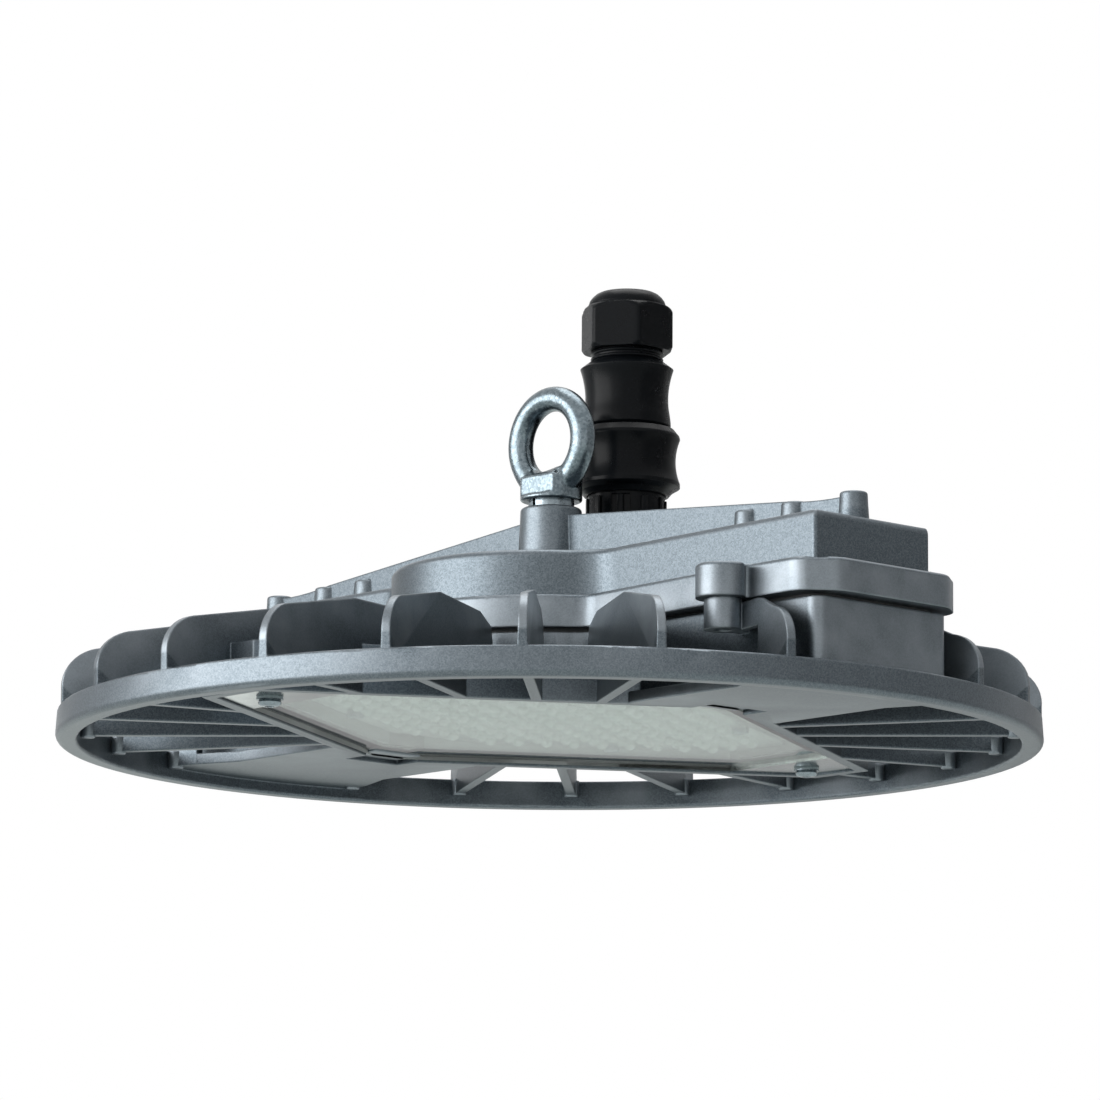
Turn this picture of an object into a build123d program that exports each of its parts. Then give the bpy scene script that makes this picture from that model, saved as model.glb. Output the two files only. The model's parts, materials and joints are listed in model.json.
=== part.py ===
from build123d import *
import os
from math import cos, radians, sin, sqrt, tan

# Round industrial high-bay luminaire: a finned die-cast body with a driver housing across it,
# a glazed lamp underneath and an eyebolt and a pluggable supply connector on top.
# Millimetres. +Z up, origin at the centre of the rim's foot, +X along one arm of the housing.

# Rim
RIM_RADIUS = 155.0
RIM_WALL = 7.0
RIM_HEIGHT = 9.1
RIM_DRAFT = 0.6
RIM_FOOT_ROUND = 2.0
RIM_TOP_ROUND = 0.8

# Cooling fins
FIN_COUNT = 24
FIN_FOOT_THICKNESS = 3.2
FIN_CREST_THICKNESS = 2.0
FIN_FOOT_Z = 4.1
FIN_CREST_Z = 32.5
FIN_SHOULDER_Z = 26.2
FIN_OUTER_RADIUS = 154.3
FIN_CREST_OUTER = 109.0
FIN_CREST_INNER = 72.0
FIN_INNER_RADIUS = 60.0
FIN_INNER_CHAMFER_Z = 29.3
FIN_STEP_Z = 22.0
FIN_CORNER_RISE = 11.7
FIN_CORNER_RUN = 9.3
ARM_FIN_CREST_Z = 28.5
ARM_FIN_INNER_RADIUS = 136.5

# Driver housing: the trough in the casting and the cover over it
COVER_HALF_WIDTH = 22.0
COVER_HALF_LENGTH = 143.0
COVER_BULGE_RADIUS = 50.3
COVER_BULGE_BLEND = 18.0
COVER_CORNER = 2.8
COVER_TOP_ROUND = 2.2
COVER_TOP_Z = 55.2
COVER_WALL = 3.0
SKIRT_STEP = 7.0
SKIRT_LOW_Z = 29.8
SKIRT_HIGH_Z = 40.0
SKIRT_ROUND = 1.3
TROUGH_INSET = 2.5
TROUGH_END_INSET = 4.5
TROUGH_WALL = 3.0
TROUGH_CORNER = 8.0
GASKET_THICKNESS = 1.2
GASKET_EDGE = 0.5
GASKET_WIDTH = 2.2

# Spine web and ejector bosses on the cover
SPINE_THICKNESS = 3.0
SPINE_CENTRE_Z = 73.4
SPINE_SLOPE_END = 108.0
SPINE_SLOPE_END_Z = 64.7
SPINE_END_Z = 63.1
SPINE_TIP = 135.0
EJECTOR_PLACES = (89.8, 110.0, 134.9)
EJECTOR_RADIUS = 4.5
EJECTOR_TOP_Z = 64.2
EJECTOR_DRAFT = 0.35
EJECTOR_ROUND = 0.8
BOSS_RADIUS = 10.2
BOSS_DRAFT = 0.5
BOSS_TOP_Z = 76.6
BOSS_ROUND = 1.2

# Cover screws in their ears
EAR_X = 117.0
EAR_Y = 36.8
EAR_RADIUS = 8.25
EAR_CREASE = 2.0
EAR_BOSS_RADIUS = 5.7
EAR_BOSS_LOW_Z = 20.4
EAR_RIB_THICKNESS = 4.0
COVER_SCREW_RADIUS = 2.5
COVER_SCREW_HEAD_RADIUS = 4.25
COVER_SCREW_HEAD = 5.0
COVER_SCREW_LENGTH = 13.5
COVER_SCREW_SOCKET = 2.0
COVER_SCREW_HEAD_ROUND = 0.5
SINK_CLEARANCE = 0.5
HOLE_CLEARANCE = 0.25
THREAD_CLEARANCE = 0.05

# Lamp chamber: a lozenge with sixty degree corners on the Y axis
FRAME_LOW_Z = 4.1
FRAME_APOTHEM = 75.5
FRAME_TIP = 130.0
FRAME_LIP = 4.0
FLOOR_LOW_Z = 16.0
FLOOR_THICKNESS = 3.0
SEAT_Z = 5.9
LEDGE_Z = 10.9
GLASS_THICKNESS = 4.0
GLASS_CLEARANCE = 0.8
GLASS_TIP = 107.5
GLASS_CORNER = 78.0
GLASS_ROUND = 2.0
GLASS_BEVEL = 0.5
POCKET_END = 86.5
POCKET_HALF_WIDTH = 11.0
CHAMBER_APOTHEM = 63.5
CHAMBER_TIP = 96.0
CHAMBER_CORNER = 69.0
GLASS_SEAL_APOTHEM = 65.0
SIXTY_SIN = sin(radians(60))
SIXTY_COS = cos(radians(60))

# Arm plates under the trough
ARM_PLATE_HALF_WIDTH = 31.0
ARM_PLATE_THICKNESS = 3.5
ARM_PLATE_START = 70.0
ARM_DEEP_START = 99.0
ARM_DEEP_FLOOR = 3.4

# Glass retainers
RETAINER_THICKNESS = 1.2
RETAINER_INNER_Y = 101.5
RETAINER_SCREW_Y = 113.5
RETAINER_EDGE = 0.5
RETAINER_SCREW_RADIUS = 2.0
RETAINER_HEAD_RADIUS = 3.9
RETAINER_HEAD = 3.0
RETAINER_HEAD_ROUND = 1.1
RETAINER_SCREW_LENGTH = 8.0
RETAINER_SOCKET = 1.5

# LED board, lens plate and thermal pad
PAD_THICKNESS = 0.5
BOARD_THICKNESS = 1.6
BOARD_APOTHEM = 57.0
BOARD_TIP = 90.0
BOARD_CORNER = 54.5
LENS_THICKNESS = 1.7
LENS_POCKET = 0.9
LENS_EDGE = 4.0
LED_SIZE = 3.0
LED_HEIGHT = 0.7
LED_PITCH = 9.2
LED_ROW_COLUMNS = 11
BOARD_SCREW_X = 30.0
BOARD_SCREW_Y = 54.5
BOARD_SCREW_RADIUS = 1.5
BOARD_SCREW_HEAD_RADIUS = 2.8
BOARD_SCREW_HEAD = 1.6
BOARD_SCREW_SOCKET = 1.0
BOARD_SCREW_HEAD_ROUND = 0.7
BOARD_SCREW_BITE = 1.8
BOARD_SCREW_KEEP_OUT = 5.2
LED_LEAD_X = 25.0
LED_LEAD_Y = 30.0
LED_LEAD_HOLE = 3.2

# Eyebolt
EYE_OUTER_RADIUS = 18.0
EYE_SECTION_RADIUS = 4.0
EYE_COLLAR_RADIUS = 9.9
EYE_COLLAR_HEIGHT = 7.0
EYE_COLLAR_FOOT = 1.4
EYE_FLAT = 6.8
EYE_NECK_HEIGHT = 9.5
EYE_SHANK_RADIUS = 4.0
EYE_SHANK_LENGTH = 13.0
EYE_TURN = 2.5
EYE_HOLE_EXTRA = 4.0
WASHER_OUTER_RADIUS = 7.3
WASHER_THICKNESS = 2.2
WASHER_SPLIT = 1.2

# Supply connector
INLET_Y = 32.4
INLET_RADIUS = 12.4
INLET_BORE_RADIUS = 9.0
INLET_TOP_Z = 95.0
INLET_FLANGE_RADIUS = 14.6
INLET_FLANGE_HEIGHT = 5.0
INLET_SEAL_THICKNESS = 1.2
INLET_THREAD_RADIUS = 10.0
INLET_THREAD_LOW_Z = 46.9
INLET_KEY_WIDTH = 6.0
INLET_KEY_DEPTH = 0.8
INLET_FLOOR_Z = 62.0
LOCKNUT_ACROSS = 25.0
LOCKNUT_THICKNESS = 5.0
PIN_COUNT = 5
PIN_CIRCLE = 5.2
PIN_RADIUS = 1.0
PIN_LENGTH = 16.0
PIN_ROOT = 7.0
RING_LOW_Z = 84.6
RING_HIGH_Z = 106.2
RING_LIP_RADIUS = 15.0
RING_LIP_Z = 86.2
RING_BEAD_RADIUS = 17.2
RING_BEAD_LOW_Z = 88.7
RING_BEAD_HIGH_Z = 103.2
RING_WAIST_RADIUS = 15.8
RING_TOP_RADIUS = 15.3
RING_BORE_CLEARANCE = 0.3
PLUG_FOOT_Z = 96.5
PLUG_LOW_Z = 107.4
PLUG_LOW_RADIUS = 14.2
PLUG_WAIST_RADIUS = 13.5
PLUG_WAIST_Z = 113.5
PLUG_TOP_RADIUS = 15.0
PLUG_TOP_Z = 126.0
PLUG_SHOULDER_RADIUS = 11.9
PLUG_SHOULDER_Z = 128.4
PLUG_NECK_RADIUS = 11.1
PLUG_NECK_TOP_Z = 138.0
PLUG_BORE_RADIUS = 8.0
PLUG_SEAL_RADIUS = 0.9
GLAND_LOW_Z = 131.8
GLAND_ACROSS = 26.2
GLAND_HEX_TOP_Z = 146.6
GLAND_CORNER_ROUND = 1.6
GLAND_DOME_RADIUS = 12.9
GLAND_CROWN_RADIUS = 9.6
GLAND_CROWN_Z = 152.0
GLAND_MOUTH_RADIUS = 8.2
GLAND_TURN = 39.0
GLAND_SEAL_RADIUS = 7.8
GLAND_CABLE_RADIUS = 5.5
GLAND_CHAMFER = 1.4

# Driver compartment
DRIVER_HALF_LENGTH = 82.0
DRIVER_HALF_WIDTH = 18.0
DRIVER_HEIGHT = 22.5
DRIVER_ROUND = 2.0
DRIVER_TAB = 14.0
DRIVER_TAB_THICKNESS = 1.5
INNER_SCREW_RADIUS = 2.0
INNER_SCREW_HEAD_RADIUS = 3.8
INNER_SCREW_HEAD = 2.6
INNER_SCREW_HEAD_ROUND = 1.0
INNER_SCREW_SOCKET = 1.25
INNER_SCREW_BITE = 2.0
TERMINAL_Y = -34.0
TERMINAL_LENGTH = 30.0
TERMINAL_DEPTH = 13.0
TERMINAL_HEIGHT = 15.0
TERMINAL_WAYS = 5
TERMINAL_WAY_RADIUS = 1.7
EARTH_X = 120.0
LUG_RADIUS = 4.4
LUG_THICKNESS = 0.8
LEAD_RADIUS = 1.1
LEAD_BEND = 4.0
LEAD_GAP = 0.3

# Heights and places that follow from the values above
TROUGH_TOP_Z = SKIRT_LOW_Z - GASKET_THICKNESS
FLOOR_Z = FLOOR_LOW_Z + FLOOR_THICKNESS
SHELF_LOW_Z = SKIRT_HIGH_Z - COVER_WALL
ROOF_Z = COVER_TOP_Z - COVER_WALL
GLASS_LOW_Z = SEAT_Z
GLASS_TOP_Z = GLASS_LOW_Z + GLASS_THICKNESS
RETAINER_LOW_Z = SEAT_Z - RETAINER_THICKNESS
PAD_LOW_Z = FLOOR_LOW_Z - PAD_THICKNESS
BOARD_LOW_Z = PAD_LOW_Z - BOARD_THICKNESS
LENS_LOW_Z = BOARD_LOW_Z - LENS_THICKNESS
RECESS_APOTHEM = FRAME_APOTHEM - FRAME_LIP
RECESS_TIP = FRAME_TIP - FRAME_LIP
GLASS_APOTHEM = RECESS_APOTHEM - GLASS_CLEARANCE
COLLAR_LOW_Z = BOSS_TOP_Z + WASHER_THICKNESS
EYE_CENTRE_Z = COLLAR_LOW_Z + EYE_OUTER_RADIUS
EYE_RING_RADIUS = EYE_OUTER_RADIUS - EYE_SECTION_RADIUS
INLET_FOOT_Z = COVER_TOP_Z + INLET_SEAL_THICKNESS
EAR_PLACES = [(sx * EAR_X, sy * EAR_Y) for sx in (1, -1) for sy in (1, -1)]
BOARD_SCREW_PLACES = [(sx * BOARD_SCREW_X, sy * BOARD_SCREW_Y) for sx in (1, -1) for sy in (1, -1)]
TROUGH_HALF_WIDTH = COVER_HALF_WIDTH + SKIRT_STEP - TROUGH_INSET
TROUGH_HALF_LENGTH = COVER_HALF_LENGTH + SKIRT_STEP - TROUGH_END_INSET
TROUGH_BULGE = COVER_BULGE_RADIUS + SKIRT_STEP - TROUGH_INSET
TROUGH_BLEND = COVER_BULGE_BLEND - SKIRT_STEP + TROUGH_INSET
FIN_PITCH = 360.0 / FIN_COUNT
ARM_FLOOR_Z = FRAME_LOW_Z + ARM_DEEP_FLOOR
PIN_LOW_Z = INLET_FLOOR_Z - PIN_ROOT
DRIVER_SCREW_X = DRIVER_HALF_LENGTH + DRIVER_TAB / 2
DRIVER_SCREW_PLACES = [(DRIVER_SCREW_X, 0), (-DRIVER_SCREW_X, 0)]
RETAINER_SCREW_PLACES = [(0, RETAINER_SCREW_Y), (0, -RETAINER_SCREW_Y)]


def slab(outline, low, high):
    """A flat outline raised from one height to another."""
    return Pos(0, 0, low) * extrude(outline, high - low)


def rod(x, y, radius, low, high):
    """An upright round bar."""
    return slab(Pos(x, y) * Circle(radius), low, high)


def turned(points, rounds=()):
    """A solid of revolution about Z from (radius, height) points, with chosen corners rounded."""
    face = make_face(Polyline(*points, close=True))
    for radius, height, size in rounds:
        near = [v for v in face.vertices() if abs(v.X - radius) < 1e-6 and abs(v.Y - height) < 1e-6]
        face = fillet(near, size)
    return revolve(Plane.XZ * face, Axis.Z)


def housing_outline(half_width, half_length, bulge, blend, corner):
    """Outline of the driver housing: a long bar with a round bulge in the middle."""
    outline = Rectangle(2 * half_length, 2 * half_width) + Circle(bulge)
    ends = [v for v in outline.vertices() if abs(v.X) > half_length - 1]
    outline = fillet(ends, corner)
    waists = [v for v in outline.vertices() if abs(v.X) < bulge + 1]
    return fillet(waists, blend)


def trough_outline(inward):
    """The trough's outer outline, moved inward."""
    return housing_outline(
        TROUGH_HALF_WIDTH - inward,
        TROUGH_HALF_LENGTH - inward,
        TROUGH_BULGE - inward,
        TROUGH_BLEND + inward,
        TROUGH_CORNER - inward,
    )


def cover_outline(outward):
    """The cover's upper outline, moved outward."""
    return housing_outline(
        COVER_HALF_WIDTH + outward,
        COVER_HALF_LENGTH + outward,
        COVER_BULGE_RADIUS + outward,
        COVER_BULGE_BLEND - outward,
        COVER_CORNER + outward,
    )


def lozenge(apothem, tip, corner=None, round_off=0.0):
    """Hexagon with sixty degree sides, cut square at the tips and, if asked, at the side corners."""
    tip_x = (apothem - tip * SIXTY_COS) / SIXTY_SIN
    if corner is None:
        quarter = [(tip_x, tip), (apothem / SIXTY_SIN, 0)]
        lower = [(tip_x, -tip)]
    else:
        corner_y = (apothem - corner * SIXTY_SIN) / SIXTY_COS
        quarter = [(tip_x, tip), (corner, corner_y)]
        lower = [(corner, -corner_y), (tip_x, -tip)]
    right = quarter + lower
    left = [(-x, -y) for x, y in right]
    face = make_face(Polyline(*right, *left, close=True))
    if round_off:
        face = fillet(face.vertices(), round_off)
    return face


def hexagon(across_flats, turn=0.0, round_off=0.0):
    """Regular hexagon by its size across flats."""
    face = Rot(0, 0, turn) * RegularPolygon(across_flats / 2, 6, major_radius=False)
    if round_off:
        face = fillet(face.vertices(), round_off)
    return face


def fin_wedge():
    """Radial wedge that gives every fin its draft from foot to crest."""
    foot, crest = FIN_FOOT_THICKNESS / 2, FIN_CREST_THICKNESS / 2
    section = make_face(
        Polyline((-foot, FIN_FOOT_Z), (foot, FIN_FOOT_Z), (crest, FIN_CREST_Z), (-crest, FIN_CREST_Z), close=True)
    )
    return extrude(Plane.YZ * section, RIM_RADIUS)


def fin_corner(crest_z):
    """The rounded outer corner of a fin, as the arc that joins its outer edge to its shoulder."""
    shoulder = (FIN_OUTER_RADIUS - FIN_CORNER_RUN, crest_z)
    foot = (FIN_OUTER_RADIUS, crest_z - FIN_CORNER_RISE)
    middle = (
        FIN_OUTER_RADIUS - FIN_CORNER_RUN * (1 - sqrt(0.5)),
        crest_z - FIN_CORNER_RISE * (1 - sqrt(0.5)),
    )
    return foot, middle, shoulder


def long_fin():
    """A fin from the housing's bulge to the rim, stepped down beside the cover."""
    foot, middle, shoulder = fin_corner(FIN_SHOULDER_Z)
    inner = TROUGH_BULGE - TROUGH_WALL / 2
    arc = ThreePointArc(foot, middle, shoulder)
    rest = Polyline(
        shoulder,
        (FIN_CREST_OUTER, FIN_CREST_Z),
        (FIN_CREST_INNER, FIN_CREST_Z),
        (FIN_INNER_RADIUS + 1.5, FIN_INNER_CHAMFER_Z),
        (FIN_INNER_RADIUS, FIN_STEP_Z),
        (inner, FIN_STEP_Z),
        (inner, FIN_FOOT_Z),
        (RIM_RADIUS - RIM_WALL / 2, FIN_FOOT_Z),
        (FIN_OUTER_RADIUS, RIM_HEIGHT - 1),
        foot,
    )
    side = extrude(Plane.XZ * make_face(Curve() + arc + rest), FIN_FOOT_THICKNESS, both=True)
    return side & fin_wedge()


def arm_fin():
    """A short fin beside an arm of the housing, with a bridge to the screw boss."""
    foot, middle, shoulder = fin_corner(FIN_SHOULDER_Z - 1.4)
    boss = EAR_X * cos(radians(FIN_PITCH)) + EAR_Y * sin(radians(FIN_PITCH))
    arc = ThreePointArc(foot, middle, shoulder)
    rest = Polyline(
        shoulder,
        (ARM_FIN_INNER_RADIUS, ARM_FIN_CREST_Z),
        (boss, ARM_FIN_CREST_Z),
        (boss, EAR_BOSS_LOW_Z),
        (ARM_FIN_INNER_RADIUS, EAR_BOSS_LOW_Z),
        (ARM_FIN_INNER_RADIUS, FIN_FOOT_Z),
        (RIM_RADIUS - RIM_WALL / 2, FIN_FOOT_Z),
        (FIN_OUTER_RADIUS, RIM_HEIGHT - 1),
        foot,
    )
    side = extrude(Plane.XZ * make_face(Curve() + arc + rest), FIN_FOOT_THICKNESS, both=True)
    return side & fin_wedge()


def rim():
    """The rim with its rounded foot and lightly drafted outside."""
    inner = RIM_RADIUS - RIM_WALL
    top = RIM_RADIUS - RIM_DRAFT
    return turned(
        [(inner, 0), (RIM_RADIUS, 0), (top, RIM_HEIGHT), (inner, RIM_HEIGHT)],
        [(inner, 0, RIM_TOP_ROUND), (RIM_RADIUS, 0, RIM_FOOT_ROUND), (top, RIM_HEIGHT, RIM_TOP_ROUND)],
    )


def arm_plate():
    """The flat plate under one arm, widening to the short fins near the rim."""
    half = FIN_FOOT_THICKNESS / 2
    slope = tan(radians(FIN_PITCH))
    reach = RIM_RADIUS - RIM_WALL / 2
    flare = ARM_FIN_INNER_RADIUS * cos(radians(FIN_PITCH))
    right = [
        (ARM_PLATE_START, ARM_PLATE_HALF_WIDTH),
        (EAR_X, ARM_PLATE_HALF_WIDTH),
        (flare, flare * slope + half),
        (reach, reach * slope + half),
    ]
    left = [(x, -y) for x, y in reversed(right)]
    plate = make_face(Polyline(*right, *left, close=True)) & Circle(reach)
    return slab(plate, FRAME_LOW_Z, FRAME_LOW_Z + ARM_PLATE_THICKNESS)


def ear_bosses():
    """The bosses under the cover's ears, each with a rib to the trough."""
    bosses = []
    for x, y in EAR_PLACES:
        bosses.append(rod(x, y, EAR_BOSS_RADIUS, EAR_BOSS_LOW_Z, SKIRT_LOW_Z))
        side = 1 if y > 0 else -1
        depth = EAR_Y - TROUGH_HALF_WIDTH + TROUGH_WALL / 2
        rib = Pos(x, y - side * depth / 2) * Rectangle(EAR_RIB_THICKNESS, depth)
        bosses.append(slab(rib, EAR_BOSS_LOW_Z, TROUGH_TOP_Z))
    return bosses


def heatsink():
    """The die casting: rim, fins, trough, lamp frame and arm plates in one piece."""
    body = rim() + slab(lozenge(FRAME_APOTHEM, FRAME_TIP), FRAME_LOW_Z, FLOOR_Z)
    body += arm_plate() + Rot(0, 0, 180) * arm_plate()
    body += slab(trough_outline(0), FRAME_LOW_Z + 1, TROUGH_TOP_Z)
    steps = range(FIN_COUNT // 2)
    for step in [s for s in steps if s]:
        fin = arm_fin() if step in (1, FIN_COUNT // 2 - 1) else long_fin()
        body += [Rot(0, 0, step * FIN_PITCH) * fin, Rot(0, 0, -step * FIN_PITCH) * fin]
    body += ear_bosses()

    cuts = [slab(trough_outline(TROUGH_WALL), FLOOR_Z, SKIRT_LOW_Z)]
    deep = trough_outline(TROUGH_WALL)
    for side in (1, -1):
        middle = side * (ARM_DEEP_START + TROUGH_HALF_LENGTH) / 2
        window = Pos(middle, 0) * Rectangle(TROUGH_HALF_LENGTH - ARM_DEEP_START, 2 * TROUGH_HALF_WIDTH)
        cuts.append(slab(deep & window, ARM_FLOOR_Z, FLOOR_Z + 1))
    cuts.append(slab(lozenge(RECESS_APOTHEM, RECESS_TIP), FRAME_LOW_Z - 1, SEAT_Z))
    for side in (1, -1):
        pocket = Pos(side * POCKET_END / 2, 0) * Rectangle(POCKET_END, 2 * POCKET_HALF_WIDTH)
        cuts.append(slab(pocket, FRAME_LOW_Z - 1, LEDGE_Z))
    cuts.append(slab(lozenge(RECESS_APOTHEM, GLASS_TIP + GLASS_CLEARANCE), FRAME_LOW_Z - 1, LEDGE_Z))
    cuts.append(slab(lozenge(CHAMBER_APOTHEM, CHAMBER_TIP, CHAMBER_CORNER), LEDGE_Z - 1, FLOOR_LOW_Z))
    for x, y in EAR_PLACES:
        cuts.append(rod(x, y, COVER_SCREW_RADIUS + THREAD_CLEARANCE, EAR_BOSS_LOW_Z - 1, SKIRT_LOW_Z + 1))
    for x, y in RETAINER_SCREW_PLACES:
        top = RETAINER_LOW_Z + RETAINER_SCREW_LENGTH + 1
        cuts.append(rod(x, y, RETAINER_SCREW_RADIUS + THREAD_CLEARANCE, SEAT_Z - 1, top))
    hole = INNER_SCREW_RADIUS + THREAD_CLEARANCE
    for x, y in DRIVER_SCREW_PLACES:
        cuts.append(rod(x, y, hole, FLOOR_Z - INNER_SCREW_BITE - 0.3, FLOOR_Z + 1))
    cuts.append(rod(EARTH_X, 0, hole, ARM_FLOOR_Z - INNER_SCREW_BITE - 0.3, ARM_FLOOR_Z + 1))
    for x, y in BOARD_SCREW_PLACES:
        hole = BOARD_SCREW_RADIUS + THREAD_CLEARANCE
        cuts.append(rod(x, y, hole, FLOOR_LOW_Z - 1, FLOOR_LOW_Z + BOARD_SCREW_BITE + 0.3))
    cuts.append(rod(LED_LEAD_X, LED_LEAD_Y, LED_LEAD_HOLE, FLOOR_LOW_Z - 1, FLOOR_Z + 1))
    return body - cuts


def spine():
    """The web along the cover, sloping from the centre boss to a lower level at each end."""
    sag = (SPINE_SLOPE_END_Z + SPINE_END_Z) / 2 - 0.35
    middle = (SPINE_SLOPE_END + SPINE_TIP - 8) / 2
    slope = Line((0, SPINE_CENTRE_Z + 0.8), (SPINE_SLOPE_END, SPINE_SLOPE_END_Z))
    dip = ThreePointArc((SPINE_SLOPE_END, SPINE_SLOPE_END_Z), (middle, sag), (SPINE_TIP - 8, SPINE_END_Z))
    rest = Polyline(
        (SPINE_TIP - 8, SPINE_END_Z),
        (SPINE_TIP, SPINE_END_Z),
        (SPINE_TIP, ROOF_Z + 1),
        (0, ROOF_Z + 1),
        (0, SPINE_CENTRE_Z + 0.8),
    )
    half = extrude(Plane.XZ * make_face(Curve() + slope + dip + rest), SPINE_THICKNESS / 2, both=True)
    return half + Rot(0, 0, 180) * half


def drafted_boss(x, radius, draft, top, round_off):
    """A round boss that narrows towards its rounded top."""
    boss = turned(
        [(0, ROOF_Z + 1), (radius + draft, ROOF_Z + 1), (radius - draft, top), (0, top)],
        [(radius - draft, top, round_off)],
    )
    return Pos(x, 0, 0) * boss


def housing_cover():
    """The cast cover: bulged box, skirt with screw ears, spine, ejector bosses and eyebolt boss."""
    upper = slab(cover_outline(0), SHELF_LOW_Z, COVER_TOP_Z)
    upper = fillet(upper.faces().sort_by(Axis.Z)[-1].edges(), COVER_TOP_ROUND)
    flange = cover_outline(SKIRT_STEP)
    for x, y in EAR_PLACES:
        flange += Pos(x, y) * Circle(EAR_RADIUS)
    edge = COVER_HALF_WIDTH + SKIRT_STEP
    creases = [v for v in flange.vertices() if abs(abs(v.Y) - edge) < 0.01 and abs(v.X) > EAR_X - 15]
    creases = [v for v in creases if abs(v.X) < EAR_X + 15]
    flange = fillet(creases, EAR_CREASE)
    skirt = slab(flange, SKIRT_LOW_Z, SKIRT_HIGH_Z)
    skirt = fillet(skirt.faces().sort_by(Axis.Z)[-1].edges(), SKIRT_ROUND)
    body = upper + skirt + spine()
    body += drafted_boss(0, BOSS_RADIUS, BOSS_DRAFT, BOSS_TOP_Z, BOSS_ROUND)
    for place in EJECTOR_PLACES:
        for side in (1, -1):
            body += drafted_boss(side * place, EJECTOR_RADIUS, EJECTOR_DRAFT, EJECTOR_TOP_Z, EJECTOR_ROUND)

    cuts = [slab(trough_outline(TROUGH_WALL), SKIRT_LOW_Z - 1, SHELF_LOW_Z)]
    cuts.append(slab(cover_outline(-COVER_WALL + 0.5), SHELF_LOW_Z - 1, ROOF_Z))
    cuts.append(rod(0, 0, EYE_SHANK_RADIUS + THREAD_CLEARANCE, BOSS_TOP_Z - EYE_SHANK_LENGTH - 3, BOSS_TOP_Z + 1))
    cuts.append(rod(0, INLET_Y, INLET_THREAD_RADIUS + HOLE_CLEARANCE, ROOF_Z - 1, COVER_TOP_Z + 1))
    for x, y in EAR_PLACES:
        sink = SKIRT_HIGH_Z - COVER_SCREW_HEAD
        cuts.append(rod(x, y, COVER_SCREW_HEAD_RADIUS + SINK_CLEARANCE, sink, SKIRT_HIGH_Z + 1))
        cuts.append(rod(x, y, COVER_SCREW_RADIUS + HOLE_CLEARANCE, SKIRT_LOW_Z - 1, sink + 1))
    return body - cuts


def cover_gasket():
    """The seal between the trough's edge and the cover."""
    ring = trough_outline(GASKET_EDGE) - trough_outline(GASKET_EDGE + GASKET_WIDTH)
    return slab(ring, TROUGH_TOP_Z, SKIRT_LOW_Z)


def screw(radius, length, head_radius, head, socket, round_off):
    """A screw on the Z axis with its seat at zero: rounded head up, hexagon socket, plain shank."""
    body = turned(
        [(0, -length), (radius, -length), (radius, 0), (head_radius, 0), (head_radius, head), (0, head)],
        [(head_radius, head, round_off), (radius, -length, radius * 0.2)],
    )
    return body - slab(hexagon(2 * socket), head * 0.5, head + 1)


def screws_down(one, places, seat):
    """Copies of a screw put in from above."""
    return Compound([Pos(x, y, seat) * one for x, y in places])


def screws_up(one, places, seat):
    """Copies of a screw put in from below."""
    return Compound([Pos(x, y, seat) * Rot(180, 0, 0) * one for x, y in places])


def cover_screws():
    """Four socket screws sunk in the cover's ears."""
    one = screw(
        COVER_SCREW_RADIUS,
        COVER_SCREW_LENGTH,
        COVER_SCREW_HEAD_RADIUS,
        COVER_SCREW_HEAD,
        COVER_SCREW_SOCKET,
        COVER_SCREW_HEAD_ROUND,
    )
    return screws_down(one, EAR_PLACES, SKIRT_HIGH_Z - COVER_SCREW_HEAD)


def glass_pane():
    """Toughened pane with ground edges."""
    face = lozenge(GLASS_APOTHEM, GLASS_TIP, GLASS_CORNER, GLASS_ROUND)
    pane = slab(face, GLASS_LOW_Z, GLASS_TOP_Z)
    low = pane.faces().sort_by(Axis.Z)[0].edges()
    high = pane.faces().sort_by(Axis.Z)[-1].edges()
    return chamfer(low + high, GLASS_BEVEL)


def glass_seal():
    """Flat silicone seal between the pane and the ledge of the chamber."""
    outer = lozenge(GLASS_APOTHEM - 0.5, GLASS_TIP - 0.5, GLASS_CORNER - 0.5, GLASS_ROUND)
    trim = GLASS_SEAL_APOTHEM - CHAMBER_APOTHEM
    inner = lozenge(GLASS_SEAL_APOTHEM, CHAMBER_TIP + trim, CHAMBER_CORNER + trim, GLASS_ROUND)
    return slab(outer - inner, GLASS_TOP_Z, LEDGE_Z)


def retainer(side):
    """Sheet corner that holds the pane up at one tip."""
    face = lozenge(RECESS_APOTHEM - RETAINER_EDGE, RECESS_TIP - RETAINER_EDGE, round_off=RETAINER_EDGE)
    middle = (RETAINER_INNER_Y + RECESS_TIP) / 2
    keep = Pos(0, middle) * Rectangle(2 * RECESS_APOTHEM, RECESS_TIP - RETAINER_INNER_Y)
    plate = slab(face & keep, RETAINER_LOW_Z, SEAT_Z)
    plate -= rod(0, RETAINER_SCREW_Y, RETAINER_SCREW_RADIUS + HOLE_CLEARANCE, RETAINER_LOW_Z - 1, SEAT_Z + 1)
    return plate if side > 0 else Rot(0, 0, 180) * plate


def retainer_screws():
    """Two round-headed screws, heads down."""
    one = screw(
        RETAINER_SCREW_RADIUS,
        RETAINER_SCREW_LENGTH,
        RETAINER_HEAD_RADIUS,
        RETAINER_HEAD,
        RETAINER_SOCKET,
        RETAINER_HEAD_ROUND,
    )
    return screws_up(one, RETAINER_SCREW_PLACES, RETAINER_LOW_Z)


def board_outline(inward=0.0):
    """Outline of the LED board, moved inward."""
    return lozenge(BOARD_APOTHEM - inward, BOARD_TIP - inward, BOARD_CORNER - inward)


def board_holes(radius, low, high):
    """Clearance holes for the board screws."""
    return [rod(x, y, radius, low, high) for x, y in BOARD_SCREW_PLACES]


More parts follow.
